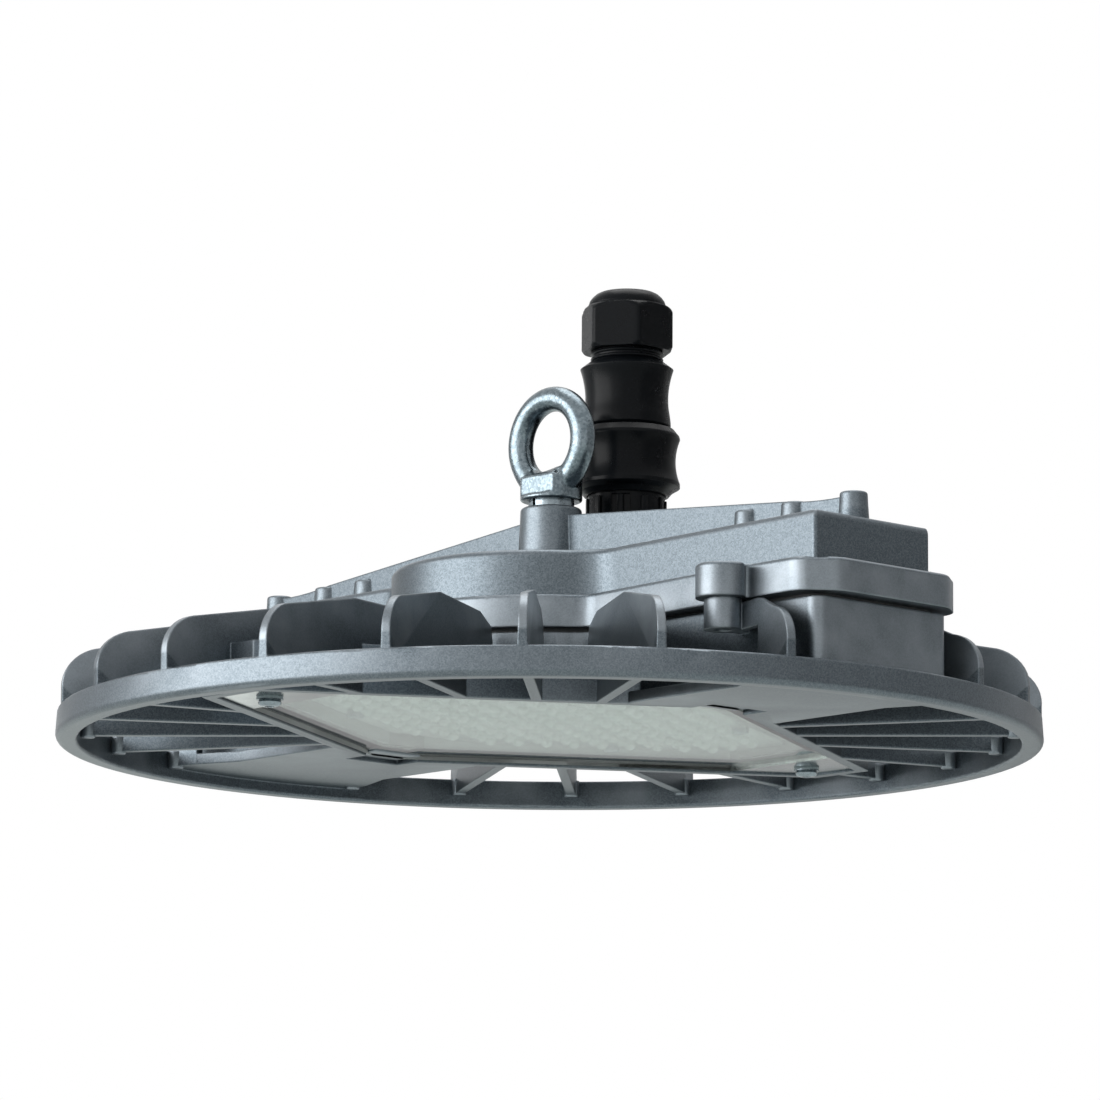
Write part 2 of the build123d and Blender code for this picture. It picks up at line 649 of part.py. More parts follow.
def thermal_pad():
    """Soft pad between the LED board and the casting."""
    pad = slab(board_outline(1.0), PAD_LOW_Z, FLOOR_LOW_Z)
    pad -= rod(LED_LEAD_X, LED_LEAD_Y, LED_LEAD_HOLE, PAD_LOW_Z - 1, FLOOR_LOW_Z + 1)
    return pad - board_holes(BOARD_SCREW_RADIUS + HOLE_CLEARANCE, PAD_LOW_Z - 1, FLOOR_LOW_Z + 1)


def led_board():
    """Metal-core board that carries the LEDs."""
    board = slab(board_outline(), BOARD_LOW_Z, PAD_LOW_Z)
    return board - board_holes(BOARD_SCREW_RADIUS + HOLE_CLEARANCE, BOARD_LOW_Z - 1, PAD_LOW_Z + 1)


def led_places():
    """Centres of the LEDs: a triangular grid inside the board, clear of the screws."""
    inside = BOARD_APOTHEM - LENS_EDGE - LED_SIZE
    row_pitch = LED_PITCH * SIXTY_SIN
    places = []
    for row in range(-LED_ROW_COLUMNS, LED_ROW_COLUMNS + 1):
        for column in range(-LED_ROW_COLUMNS, LED_ROW_COLUMNS + 1):
            x = (column + (row % 2) / 2) * LED_PITCH
            y = row * row_pitch
            if abs(x) * SIXTY_SIN + abs(y) * SIXTY_COS > inside:
                continue
            if abs(x) > BOARD_CORNER - LENS_EDGE - LED_SIZE or abs(y) > BOARD_TIP - LENS_EDGE - LED_SIZE:
                continue
            near = [1 for a, b in BOARD_SCREW_PLACES if (a - x) ** 2 + (b - y) ** 2 < BOARD_SCREW_KEEP_OUT**2]
            if not near:
                places.append((x, y))
    return places


def led_chips():
    """The LED packages on the board."""
    chips = [
        slab(Pos(x, y) * Rectangle(LED_SIZE, LED_SIZE), BOARD_LOW_Z - LED_HEIGHT, BOARD_LOW_Z)
        for x, y in led_places()
    ]
    return Compound(chips)


def lens_plate():
    """Clear optic plate over the LEDs, hollow on the board side."""
    plate = slab(board_outline(), LENS_LOW_Z, BOARD_LOW_Z)
    plate -= slab(board_outline(LENS_EDGE), BOARD_LOW_Z - LENS_POCKET, BOARD_LOW_Z + 1)
    for x, y in BOARD_SCREW_PLACES:
        plate += rod(x, y, BOARD_SCREW_HEAD_RADIUS, LENS_LOW_Z, BOARD_LOW_Z)
    return plate - board_holes(BOARD_SCREW_RADIUS + HOLE_CLEARANCE, LENS_LOW_Z - 1, BOARD_LOW_Z + 1)


def board_screws():
    """Four screws through lens plate, board and pad."""
    one = screw(
        BOARD_SCREW_RADIUS,
        FLOOR_LOW_Z + BOARD_SCREW_BITE - LENS_LOW_Z,
        BOARD_SCREW_HEAD_RADIUS,
        BOARD_SCREW_HEAD,
        BOARD_SCREW_SOCKET,
        BOARD_SCREW_HEAD_ROUND,
    )
    return screws_up(one, BOARD_SCREW_PLACES, LENS_LOW_Z)


def eyebolt():
    """Forged eyebolt: ring, flatted collar and shank."""
    ring = Plane.XZ * Pos(EYE_RING_RADIUS, 0) * Circle(EYE_SECTION_RADIUS)
    ring = revolve(ring, Axis.Z)
    ring = Pos(0, 0, EYE_CENTRE_Z) * Rot(90, 0, 0) * ring
    top = COLLAR_LOW_Z + EYE_COLLAR_HEIGHT
    collar = rod(0, 0, EYE_COLLAR_RADIUS, COLLAR_LOW_Z, top)
    across = Pos(0, 0) * Rectangle(4 * EYE_COLLAR_RADIUS, 2 * EYE_FLAT)
    foot = rod(0, 0, EYE_COLLAR_RADIUS, COLLAR_LOW_Z, COLLAR_LOW_Z + EYE_COLLAR_FOOT)
    collar = (collar & slab(across, COLLAR_LOW_Z, top)) + foot
    neck = loft(
        [
            Pos(0, 0, top) * Rectangle(2 * 7.1, 2 * EYE_FLAT),
            Pos(0, 0, COLLAR_LOW_Z + EYE_NECK_HEIGHT) * Rectangle(2 * 6.2, 2 * 2.4),
        ]
    )
    hole = Pos(0, 0, EYE_CENTRE_Z) * Rot(90, 0, 0) * Cylinder(
        EYE_RING_RADIUS - EYE_SECTION_RADIUS, 4 * EYE_COLLAR_RADIUS
    )
    shank = rod(0, 0, EYE_SHANK_RADIUS, BOSS_TOP_Z - EYE_SHANK_LENGTH, COLLAR_LOW_Z + 1)
    bolt = (collar + neck - hole) + ring + shank
    return Rot(0, 0, EYE_TURN) * bolt


def eyebolt_washer():
    """Split spring washer under the collar."""
    face = Circle(WASHER_OUTER_RADIUS) - Circle(EYE_SHANK_RADIUS + HOLE_CLEARANCE)
    face -= Pos(0, -WASHER_OUTER_RADIUS) * Rotation(0, 0, 20) * Rectangle(WASHER_SPLIT, 2 * WASHER_OUTER_RADIUS)
    return slab(face, BOSS_TOP_Z, COLLAR_LOW_Z)


def on_inlet(shape):
    """Moves a piece that was made on the Z axis to the connector's axis."""
    return Pos(0, INLET_Y, 0) * shape


def pin_place(k):
    """Centre of one contact pin on the connector's axis."""
    angle = radians(360 * k / PIN_COUNT)
    return PIN_CIRCLE * cos(angle), PIN_CIRCLE * sin(angle)


def inlet_socket():
    """Device side of the connector, threaded through the cover."""
    flange_top = INLET_FOOT_Z + INLET_FLANGE_HEIGHT
    body = rod(0, 0, INLET_FLANGE_RADIUS, INLET_FOOT_Z, flange_top)
    body = chamfer(body.edges().sort_by(Axis.Z)[-1], 0.8)
    body += rod(0, 0, INLET_RADIUS, flange_top - 1, INLET_TOP_Z)
    body += rod(0, 0, INLET_THREAD_RADIUS, INLET_THREAD_LOW_Z, INLET_FOOT_Z + 1)
    for turn in (0, 90, 180, 270):
        groove = Pos(INLET_RADIUS, 0) * Rectangle(2 * INLET_KEY_DEPTH, INLET_KEY_WIDTH)
        body -= slab(Rot(0, 0, turn + GLAND_TURN) * groove, flange_top + 2, RING_LOW_Z - 1)
    body -= rod(0, 0, INLET_BORE_RADIUS, INLET_FLOOR_Z, INLET_TOP_Z + 1)
    body -= rod(0, 0, INLET_THREAD_RADIUS - 2, INLET_THREAD_LOW_Z - 1, INLET_FLOOR_Z - 4)
    for k in range(PIN_COUNT):
        x, y = pin_place(k)
        body -= rod(x, y, PIN_RADIUS + THREAD_CLEARANCE, INLET_FLOOR_Z - 5, INLET_FLOOR_Z + 1)
    return on_inlet(body)


def contact_pins():
    """Contact pins of the device side."""
    pins = []
    for k in range(PIN_COUNT):
        x, y = pin_place(k)
        pins.append(on_inlet(rod(x, y, PIN_RADIUS, PIN_LOW_Z, PIN_LOW_Z + PIN_LENGTH)))
    return Compound(pins)


def inlet_seal():
    """Flat seal between the connector's flange and the cover."""
    face = Circle(INLET_FLANGE_RADIUS - 0.4) - Circle(INLET_THREAD_RADIUS + HOLE_CLEARANCE)
    return on_inlet(slab(face, COVER_TOP_Z, INLET_FOOT_Z))


def inlet_locknut():
    """Nut that clamps the connector from inside the cover."""
    face = hexagon(LOCKNUT_ACROSS) - Circle(INLET_THREAD_RADIUS + THREAD_CLEARANCE)
    nut = slab(face, ROOF_Z - LOCKNUT_THICKNESS, ROOF_Z)
    return on_inlet(nut)


def locking_ring():
    """Coupling ring with finger waist between two beads."""
    bore = INLET_RADIUS + RING_BORE_CLEARANCE
    waist_z = (RING_BEAD_LOW_Z + RING_BEAD_HIGH_Z) / 2
    lower = Polyline(
        (bore, RING_HIGH_Z),
        (bore, RING_LOW_Z),
        (bore + 0.9, RING_LOW_Z),
        (RING_LIP_RADIUS, RING_LIP_Z),
        (RING_BEAD_RADIUS, RING_BEAD_LOW_Z - 1.2),
        (RING_BEAD_RADIUS, RING_BEAD_LOW_Z),
    )
    waist = ThreePointArc(
        (RING_BEAD_RADIUS, RING_BEAD_LOW_Z), (RING_WAIST_RADIUS, waist_z), (RING_BEAD_RADIUS, RING_BEAD_HIGH_Z)
    )
    upper = Polyline(
        (RING_BEAD_RADIUS, RING_BEAD_HIGH_Z),
        (RING_BEAD_RADIUS - 0.2, RING_BEAD_HIGH_Z + 0.9),
        (RING_TOP_RADIUS, RING_HIGH_Z),
        (bore, RING_HIGH_Z),
    )
    return on_inlet(revolve(Plane.XZ * make_face(Curve() + lower + waist + upper), Axis.Z))


def plug_body():
    """Cable side of the connector with its waisted grip and threaded neck."""
    spigot = INLET_RADIUS
    grip = Spline(
        (PLUG_LOW_RADIUS, PLUG_LOW_Z),
        (PLUG_WAIST_RADIUS, PLUG_WAIST_Z),
        (PLUG_TOP_RADIUS, PLUG_TOP_Z),
        tangents=((0, 1), (0.35, 1)),
    )
    lower = Polyline(
        (PLUG_BORE_RADIUS, PLUG_NECK_TOP_Z),
        (PLUG_BORE_RADIUS, PLUG_FOOT_Z),
        (spigot, PLUG_FOOT_Z),
        (spigot, RING_HIGH_Z + 0.2),
        (PLUG_LOW_RADIUS - 1.0, RING_HIGH_Z + 0.2),
        (PLUG_LOW_RADIUS, PLUG_LOW_Z),
    )
    upper = Polyline(
        (PLUG_TOP_RADIUS, PLUG_TOP_Z),
        (PLUG_SHOULDER_RADIUS, PLUG_SHOULDER_Z),
        (PLUG_NECK_RADIUS, PLUG_SHOULDER_Z + 0.3),
        (PLUG_NECK_RADIUS, PLUG_NECK_TOP_Z),
        (PLUG_BORE_RADIUS, PLUG_NECK_TOP_Z),
    )
    return on_inlet(revolve(Plane.XZ * make_face(Curve() + lower + grip + upper), Axis.Z))


def plug_seal():
    """Ring seal between the two halves of the connector."""
    height = (INLET_TOP_Z + PLUG_FOOT_Z) / 2
    face = Circle(INLET_RADIUS - 0.4) - Circle(INLET_BORE_RADIUS + 0.4)
    half = (PLUG_FOOT_Z - INLET_TOP_Z) / 2
    return on_inlet(slab(face, height - half, height + half))


def gland_nut():
    """Compression nut: a hexagon with rounded corners under a domed crown."""
    hexagonal = slab(hexagon(GLAND_ACROSS, GLAND_TURN, GLAND_CORNER_ROUND), GLAND_LOW_Z, GLAND_HEX_TOP_Z)
    corner = GLAND_ACROSS / 2 / SIXTY_SIN
    bevel = turned(
        [
            (0, GLAND_LOW_Z - 1),
            (corner + 1, GLAND_LOW_Z - 1),
            (corner + 1, GLAND_HEX_TOP_Z - GLAND_CHAMFER - 1),
            (corner - GLAND_CHAMFER - 0.4, GLAND_HEX_TOP_Z + 0.4),
            (0, GLAND_HEX_TOP_Z + 0.4),
        ]
    )
    crown_arc = ThreePointArc(
        (GLAND_DOME_RADIUS, GLAND_HEX_TOP_Z - 0.5),
        (GLAND_DOME_RADIUS - 0.9, GLAND_HEX_TOP_Z + 2.6),
        (GLAND_CROWN_RADIUS, GLAND_CROWN_Z),
    )
    crown_rest = Polyline(
        (GLAND_CROWN_RADIUS, GLAND_CROWN_Z),
        (GLAND_MOUTH_RADIUS + 0.6, GLAND_CROWN_Z),
        (GLAND_MOUTH_RADIUS, GLAND_CROWN_Z - 0.6),
        (GLAND_MOUTH_RADIUS, GLAND_HEX_TOP_Z - 2),
        (GLAND_DOME_RADIUS, GLAND_HEX_TOP_Z - 2),
        (GLAND_DOME_RADIUS, GLAND_HEX_TOP_Z - 0.5),
    )
    crown = revolve(Plane.XZ * make_face(Curve() + crown_arc + crown_rest), Axis.Z)
    nut = (hexagonal & bevel) + crown
    nut -= rod(0, 0, PLUG_NECK_RADIUS + THREAD_CLEARANCE, GLAND_LOW_Z - 1, PLUG_NECK_TOP_Z + 1)
    nut -= rod(0, 0, GLAND_MOUTH_RADIUS, PLUG_NECK_TOP_Z, GLAND_CROWN_Z + 1)
    return on_inlet(nut)


def gland_seal():
    """Rubber seal that grips the cable in the gland."""
    points = [
        (GLAND_CABLE_RADIUS, PLUG_NECK_TOP_Z - 6),
        (PLUG_BORE_RADIUS - 0.2, PLUG_NECK_TOP_Z - 6),
        (PLUG_BORE_RADIUS - 0.2, PLUG_NECK_TOP_Z),
        (GLAND_SEAL_RADIUS, PLUG_NECK_TOP_Z + 1),
        (GLAND_SEAL_RADIUS, GLAND_CROWN_Z - 1),
        (GLAND_CABLE_RADIUS, GLAND_CROWN_Z - 1),
    ]
    return on_inlet(turned(points))


def led_driver():
    """Potted constant-current driver with a fixing tab at each end."""
    top = FLOOR_Z + DRIVER_HEIGHT
    block = slab(Rectangle(2 * DRIVER_HALF_LENGTH, 2 * DRIVER_HALF_WIDTH), FLOOR_Z, top)
    block = fillet(block.edges().filter_by(Axis.Z), DRIVER_ROUND)
    length = 2 * (DRIVER_HALF_LENGTH + DRIVER_TAB)
    tabs = slab(Rectangle(length, 1.2 * DRIVER_HALF_WIDTH), FLOOR_Z, FLOOR_Z + DRIVER_TAB_THICKNESS)
    block += tabs
    for x, y in DRIVER_SCREW_PLACES:
        block -= rod(x, y, INNER_SCREW_RADIUS + HOLE_CLEARANCE, FLOOR_Z - 1, FLOOR_Z + DRIVER_TAB_THICKNESS + 1)
    return block


def driver_screws():
    """Two screws through the driver's tabs."""
    one = screw(
        INNER_SCREW_RADIUS,
        DRIVER_TAB_THICKNESS + INNER_SCREW_BITE,
        INNER_SCREW_HEAD_RADIUS,
        INNER_SCREW_HEAD,
        INNER_SCREW_SOCKET,
        INNER_SCREW_HEAD_ROUND,
    )
    return screws_down(one, DRIVER_SCREW_PLACES, FLOOR_Z + DRIVER_TAB_THICKNESS)


def terminal_block():
    """Screwless terminal strip on the housing floor."""
    block = slab(
        Pos(0, TERMINAL_Y) * Rectangle(TERMINAL_LENGTH, TERMINAL_DEPTH), FLOOR_Z, FLOOR_Z + TERMINAL_HEIGHT
    )
    pitch = TERMINAL_LENGTH / TERMINAL_WAYS
    for way in range(TERMINAL_WAYS):
        x = (way - (TERMINAL_WAYS - 1) / 2) * pitch
        top = FLOOR_Z + TERMINAL_HEIGHT
        block -= rod(x, TERMINAL_Y, TERMINAL_WAY_RADIUS, top - TERMINAL_HEIGHT / 2, top + 1)
    return block


def earth_screw():
    """Protective earth screw in the deep end of the housing."""
    one = screw(
        INNER_SCREW_RADIUS,
        LUG_THICKNESS + INNER_SCREW_BITE,
        INNER_SCREW_HEAD_RADIUS,
        INNER_SCREW_HEAD,
        INNER_SCREW_SOCKET,
        INNER_SCREW_HEAD_ROUND,
    )
    return screws_down(one, [(EARTH_X, 0)], ARM_FLOOR_Z + LUG_THICKNESS)


def lead(points):
    """An insulated wire along straight runs joined by round bends."""
    path = FilletPolyline(*points, radius=LEAD_BEND)
    section = Plane(origin=path @ 0, z_dir=path % 0) * Circle(LEAD_RADIUS)
    return sweep(section, path)


def supply_leads():
    """Three wires from the connector's pins over the driver to the terminal strip."""
    pitch = TERMINAL_LENGTH / TERMINAL_WAYS
    over = FLOOR_Z + DRIVER_HEIGHT + LEAD_RADIUS + LEAD_GAP
    wires = []
    for way, pin in ((-1, 3), (0, 4), (1, 0)):
        x, y = pin_place(pin)
        points = [
            (x, INLET_Y + y, PIN_LOW_Z),
            (x, INLET_Y + y, over),
            (way * pitch, TERMINAL_Y, over),
            (way * pitch, TERMINAL_Y, FLOOR_Z + TERMINAL_HEIGHT / 2),
        ]
        wires.append(lead(points))
    return Compound(wires)


def driver_leads():
    """Two short wires from the terminal strip to the driver's input side."""
    near = TERMINAL_Y + TERMINAL_DEPTH / 2
    height = FLOOR_Z + TERMINAL_HEIGHT / 3
    wires = []
    for side in (1, -1):
        x = side * TERMINAL_LENGTH / TERMINAL_WAYS
        wire = Plane.XZ.offset(-near) * Pos(x, height) * Circle(LEAD_RADIUS)
        wires.append(extrude(wire, -DRIVER_HALF_WIDTH - near, dir=(0, 1, 0)))
    return Compound(wires)


def led_leads():
    """Two wires from the driver's output side down through the floor to the LED board."""
    wires = []
    for side in (1, -1):
        x = LED_LEAD_X + side * (LEAD_RADIUS + LEAD_GAP)
        points = [
            (x, DRIVER_HALF_WIDTH, FLOOR_Z + DRIVER_HEIGHT / 2),
            (x, LED_LEAD_Y, FLOOR_Z + DRIVER_HEIGHT / 2),
            (x, LED_LEAD_Y, PAD_LOW_Z),
        ]
        wires.append(lead(points))
    return Compound(wires)


def earth_lead():
    """Wire from the terminal strip along the trough to a ring lug under the earth screw."""
    low = ARM_FLOOR_Z
    lug = Pos(EARTH_X, 0) * (Circle(LUG_RADIUS) + Pos(-LUG_RADIUS, 0) * Rectangle(2 * LUG_RADIUS, LUG_RADIUS))
    lug -= Pos(EARTH_X, 0) * Circle(INNER_SCREW_RADIUS + HOLE_CLEARANCE)
    end = (EARTH_X - 1.6 * LUG_RADIUS, 0)
    beside = -(DRIVER_HALF_WIDTH + TROUGH_HALF_WIDTH - TROUGH_WALL) / 2
    height = FLOOR_Z + TERMINAL_HEIGHT / 2
    points = [
        (TERMINAL_LENGTH / 2, TERMINAL_Y, height),
        (TERMINAL_LENGTH / 2 + 14, TERMINAL_Y, height),
        (TERMINAL_LENGTH / 2 + 34, beside, height),
        (end[0], beside, height),
        (end[0], 0, height),
        (end[0], 0, low + LUG_THICKNESS / 2),
    ]
    return slab(lug, low, low + LUG_THICKNESS) + lead(points)


NODES = {
    "heatsink": heatsink,
    "housing_cover": housing_cover,
    "cover_gasket": cover_gasket,
    "cover_screws": cover_screws,
    "eyebolt": eyebolt,
    "eyebolt_washer": eyebolt_washer,
    "inlet_socket": inlet_socket,
    "contact_pins": contact_pins,
    "inlet_seal": inlet_seal,
    "inlet_locknut": inlet_locknut,
    "locking_ring": locking_ring,
    "plug_body": plug_body,
    "plug_seal": plug_seal,
    "gland_nut": gland_nut,
    "gland_seal": gland_seal,
    "glass_pane": glass_pane,
    "glass_seal": glass_seal,
    "retainer_right": lambda: retainer(1),
    "retainer_left": lambda: retainer(-1),
    "retainer_screws": retainer_screws,
    "lens_plate": lens_plate,
    "led_board": led_board,
    "led_chips": led_chips,
    "board_screws": board_screws,
    "thermal_pad": thermal_pad,
    "led_driver": led_driver,
    "driver_screws": driver_screws,
    "terminal_block": terminal_block,
    "earth_screw": earth_screw,
    "supply_leads": supply_leads,
    "driver_leads": driver_leads,
    "led_leads": led_leads,
    "earth_lead": earth_lead,
}

os.makedirs("parts", exist_ok=True)
for name, make in NODES.items():
    export_step(make(), f"parts/{name}.step")
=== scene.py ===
import json
import math

import bmesh
import bpy
from mathutils import Matrix, Vector


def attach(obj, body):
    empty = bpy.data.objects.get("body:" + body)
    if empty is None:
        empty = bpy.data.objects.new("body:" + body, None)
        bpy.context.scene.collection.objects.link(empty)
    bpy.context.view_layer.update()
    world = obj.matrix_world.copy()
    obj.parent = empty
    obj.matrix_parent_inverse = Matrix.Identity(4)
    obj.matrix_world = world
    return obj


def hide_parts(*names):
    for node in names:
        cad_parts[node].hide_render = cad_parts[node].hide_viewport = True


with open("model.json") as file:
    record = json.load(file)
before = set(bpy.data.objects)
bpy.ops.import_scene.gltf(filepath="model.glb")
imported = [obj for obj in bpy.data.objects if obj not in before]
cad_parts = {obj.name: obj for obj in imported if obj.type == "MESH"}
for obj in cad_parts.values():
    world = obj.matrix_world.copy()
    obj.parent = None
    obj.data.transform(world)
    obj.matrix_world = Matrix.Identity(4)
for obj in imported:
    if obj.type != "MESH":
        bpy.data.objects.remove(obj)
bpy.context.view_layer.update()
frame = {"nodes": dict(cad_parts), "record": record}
nodes = frame["nodes"]

MM = 0.001
TURN = 2 * math.pi


# Shader groups shared by the finishes

def shader_group(name, inputs, outputs):
    """An empty shader group with named sockets, and its two end nodes."""
    tree = bpy.data.node_groups.new(name, "ShaderNodeTree")
    for label, kind, value in inputs:
        socket = tree.interface.new_socket(label, in_out="INPUT", socket_type=kind)
        socket.default_value = value
    for label, kind in outputs:
        tree.interface.new_socket(label, in_out="OUTPUT", socket_type=kind)
    return tree, tree.nodes.new("NodeGroupInput"), tree.nodes.new("NodeGroupOutput")


def math_node(tree, operation, a, b=None, clamp=False):
    """A math node with each input linked or set."""
    node = tree.nodes.new("ShaderNodeMath")
    node.operation = operation
    node.use_clamp = clamp
    for socket, value in zip(node.inputs, (a, b)):
        if value is None:
            continue
        if isinstance(value, (int, float)):
            socket.default_value = value
        else:
            tree.links.new(value, socket)
    return node.outputs[0]


def make_grain_group():
    """Fine sparkle of a surface: a mask of single flakes, a soft mottle and a height."""
    tree, ins, outs = shader_group(
        "surface_grain",
        [
            ("Flakes per metre", "NodeSocketFloat", 1500.0),
            ("Mottle per metre", "NodeSocketFloat", 60.0),
        ],
        [
            ("Flakes", "NodeSocketFloat"),
            ("Mottle", "NodeSocketFloat"),
            ("Height", "NodeSocketFloat"),
        ],
    )
    place = tree.nodes.new("ShaderNodeTexCoord")
    cells = tree.nodes.new("ShaderNodeTexVoronoi")
    tree.links.new(place.outputs["Object"], cells.inputs["Vector"])
    tree.links.new(ins.outputs["Flakes per metre"], cells.inputs["Scale"])
    split = tree.nodes.new("ShaderNodeSeparateColor")
    tree.links.new(cells.outputs["Color"], split.inputs["Color"])
    tree.links.new(split.outputs[0], outs.inputs["Flakes"])
    cloud = tree.nodes.new("ShaderNodeTexNoise")
    cloud.inputs["Detail"].default_value = 3.0
    tree.links.new(place.outputs["Object"], cloud.inputs["Vector"])
    tree.links.new(ins.outputs["Mottle per metre"], cloud.inputs["Scale"])
    tree.links.new(cloud.outputs["Fac"], outs.inputs["Mottle"])
    peel = tree.nodes.new("ShaderNodeTexNoise")
    peel.inputs["Detail"].default_value = 2.0
    tree.links.new(place.outputs["Object"], peel.inputs["Vector"])
    half = math_node(tree, "MULTIPLY", ins.outputs["Flakes per metre"], 0.5)
    tree.links.new(half, peel.inputs["Scale"])
    tree.links.new(peel.outputs["Fac"], outs.inputs["Height"])
    return tree


def make_wear_group():
    """A mask along outer edges, broken up so that the wear is uneven."""
    tree, ins, outs = shader_group(
        "edge_wear",
        [("Reach", "NodeSocketFloat", 0.06), ("Patches per metre", "NodeSocketFloat", 90.0)],
        [("Mask", "NodeSocketFloat")],
    )
    shape = tree.nodes.new("ShaderNodeNewGeometry")
    above = math_node(tree, "SUBTRACT", shape.outputs["Pointiness"], 0.5)
    ridge = math_node(tree, "DIVIDE", above, ins.outputs["Reach"], clamp=True)
    place = tree.nodes.new("ShaderNodeTexCoord")
    cloud = tree.nodes.new("ShaderNodeTexNoise")
    cloud.inputs["Detail"].default_value = 4.0
    tree.links.new(place.outputs["Object"], cloud.inputs["Vector"])
    tree.links.new(ins.outputs["Patches per metre"], cloud.inputs["Scale"])
    broken = math_node(tree, "MULTIPLY", ridge, cloud.outputs["Fac"])
    tree.links.new(broken, outs.inputs["Mask"])
    return tree


GRAIN = make_grain_group()
WEAR = make_wear_group()


def place_group(tree, group, **values):
    """A group node in a material, with its own values."""
    node = tree.nodes.new("ShaderNodeGroup")
    node.node_tree = group
    for label, value in values.items():
        node.inputs[label.replace("_", " ")].default_value = value
    return node


def mix_colour(tree, factor, a, b):
    """Two colours mixed by a mask."""
    node = tree.nodes.new("ShaderNodeMix")
    node.data_type = "RGBA"
    tree.links.new(factor, node.inputs["Factor"])
    for index, value in ((6, a), (7, b)):
        if isinstance(value, bpy.types.NodeSocket):
            tree.links.new(value, node.inputs[index])
        else:
            node.inputs[index].default_value = (*value, 1.0)
    return node.outputs[2]


def span(tree, value, low, high):
    """A mask stretched from low to high."""
    node = tree.nodes.new("ShaderNodeMapRange")
    tree.links.new(value, node.inputs["Value"])
    node.inputs["To Min"].default_value = low
    node.inputs["To Max"].default_value = high
    return node.outputs["Result"]


def finish_material(
    name, dark, light, worn, metallic, rough,
    flakes=1500.0, mottle=60.0, bump=0.1, depth=0.1, edge=0.0, **more,
):
    """A finished surface: flakes of two colours, mottled roughness, worn edges and a fine bump.

    depth is the bump's height and edge the radius of its softened edges, both in millimetres.
    """
    made = bpy.data.materials.new(name)
    made.use_nodes = True
    tree = made.node_tree
    shader = tree.nodes["Principled BSDF"]
    grain = place_group(tree, GRAIN, Flakes_per_metre=flakes, Mottle_per_metre=mottle)
    wear = place_group(tree, WEAR)
    sparkle = mix_colour(tree, grain.outputs["Flakes"], dark, light)
    coloured = mix_colour(tree, wear.outputs["Mask"], sparkle, worn)
    tree.links.new(coloured, shader.inputs["Base Color"])
    tree.links.new(span(tree, grain.outputs["Mottle"], rough[0], rough[1]), shader.inputs["Roughness"])
    shader.inputs["Metallic"].default_value = metallic
    relief = tree.nodes.new("ShaderNodeBump")
    relief.inputs["Strength"].default_value = bump
    relief.inputs["Distance"].default_value = depth * MM
    tree.links.new(grain.outputs["Height"], relief.inputs["Height"])
    if edge:
        soft = tree.nodes.new("ShaderNodeBevel")
        soft.samples = 6
        soft.inputs["Radius"].default_value = edge * MM
        tree.links.new(soft.outputs["Normal"], relief.inputs["Normal"])
    tree.links.new(relief.outputs["Normal"], shader.inputs["Normal"])
    for label, value in more.items():
        shader.inputs[label.replace("_", " ")].default_value = value
    return made


PAINT = finish_material(
    "silver_grey_paint", (0.084, 0.103, 0.117), (0.144, 0.169, 0.189), (0.28, 0.31, 0.335),
    0.9, (0.37, 0.4), flakes=2700.0, mottle=45.0, bump=0.26, depth=0.07, edge=0.8,
)
ZINC = finish_material(
    "bright_zinc_plate", (0.1, 0.13, 0.148), (0.195, 0.235, 0.257), (0.33, 0.375, 0.405),
    1.0, (0.2, 0.34), flakes=1300.0, mottle=260.0, bump=0.42, depth=0.16,
)
STAINLESS = finish_material(
    "rolled_stainless", (0.27, 0.295, 0.287), (0.33, 0.355, 0.347), (0.52, 0.55, 0.54),
    1.0, (0.12, 0.2), flakes=1200.0, mottle=120.0, bump=0.04, depth=0.04,
)
BLACK = finish_material(
    "black_polyamide", (0.0016, 0.0022, 0.003), (0.003, 0.004, 0.0052), (0.007, 0.0085, 0.01),
    0.0, (0.24, 0.32), flakes=2600.0, mottle=150.0, bump=0.06, depth=0.05, edge=0.5,
    Specular_IOR_Level=0.09,
)
# The optic's clear material made nearly white and opaque for the LED domes: painted highlight, standing
# in for the bright glints on the clear domes.
DOME_PAINTED_HIGHLIGHT = finish_material(
    "dome_painted_highlight", (0.9, 0.93, 0.91), (0.96, 0.98, 0.96), (0.98, 1.0, 0.98),
    0.0, (0.15, 0.25), flakes=900.0, mottle=120.0, bump=0.02, depth=0.03,
    IOR=1.49, Transmission_Weight=0.15,
)
# Pale matte colour seen through the glass on the pane's bead and on a sheet over the chamber's walls:
# painted reflection, standing in for the light the chamber's silver walls reflect.
PALE_PAINTED_REFLECTION = finish_material(
    "pale_painted_reflection", (0.46, 0.495, 0.48), (0.52, 0.555, 0.54), (0.6, 0.63, 0.62),
    0.0, (0.45, 0.6), flakes=1600.0, mottle=140.0, bump=0.05, depth=0.04,
)
RUBBER = finish_material(
    "grey_silicone", (0.05, 0.055, 0.055), (0.07, 0.075, 0.075), (0.1, 0.1, 0.1),
    0.0, (0.6, 0.75), flakes=1800.0, mottle=200.0, bump=0.1, depth=0.05,
)
OPTIC = finish_material(
    "clear_optic", (0.88, 0.92, 0.9), (0.94, 0.97, 0.95), (0.96, 0.99, 0.98),
    0.0, (0.1, 0.18), flakes=700.0, mottle=90.0, bump=0.02, depth=0.03,
    IOR=1.49, Transmission_Weight=0.75,
)
BOARD = finish_material(
    "white_solder_mask", (0.84, 0.87, 0.85), (0.9, 0.92, 0.9), (0.6, 0.55, 0.4),
    0.0, (0.35, 0.5), flakes=1400.0, mottle=120.0, bump=0.05, depth=0.04,
)
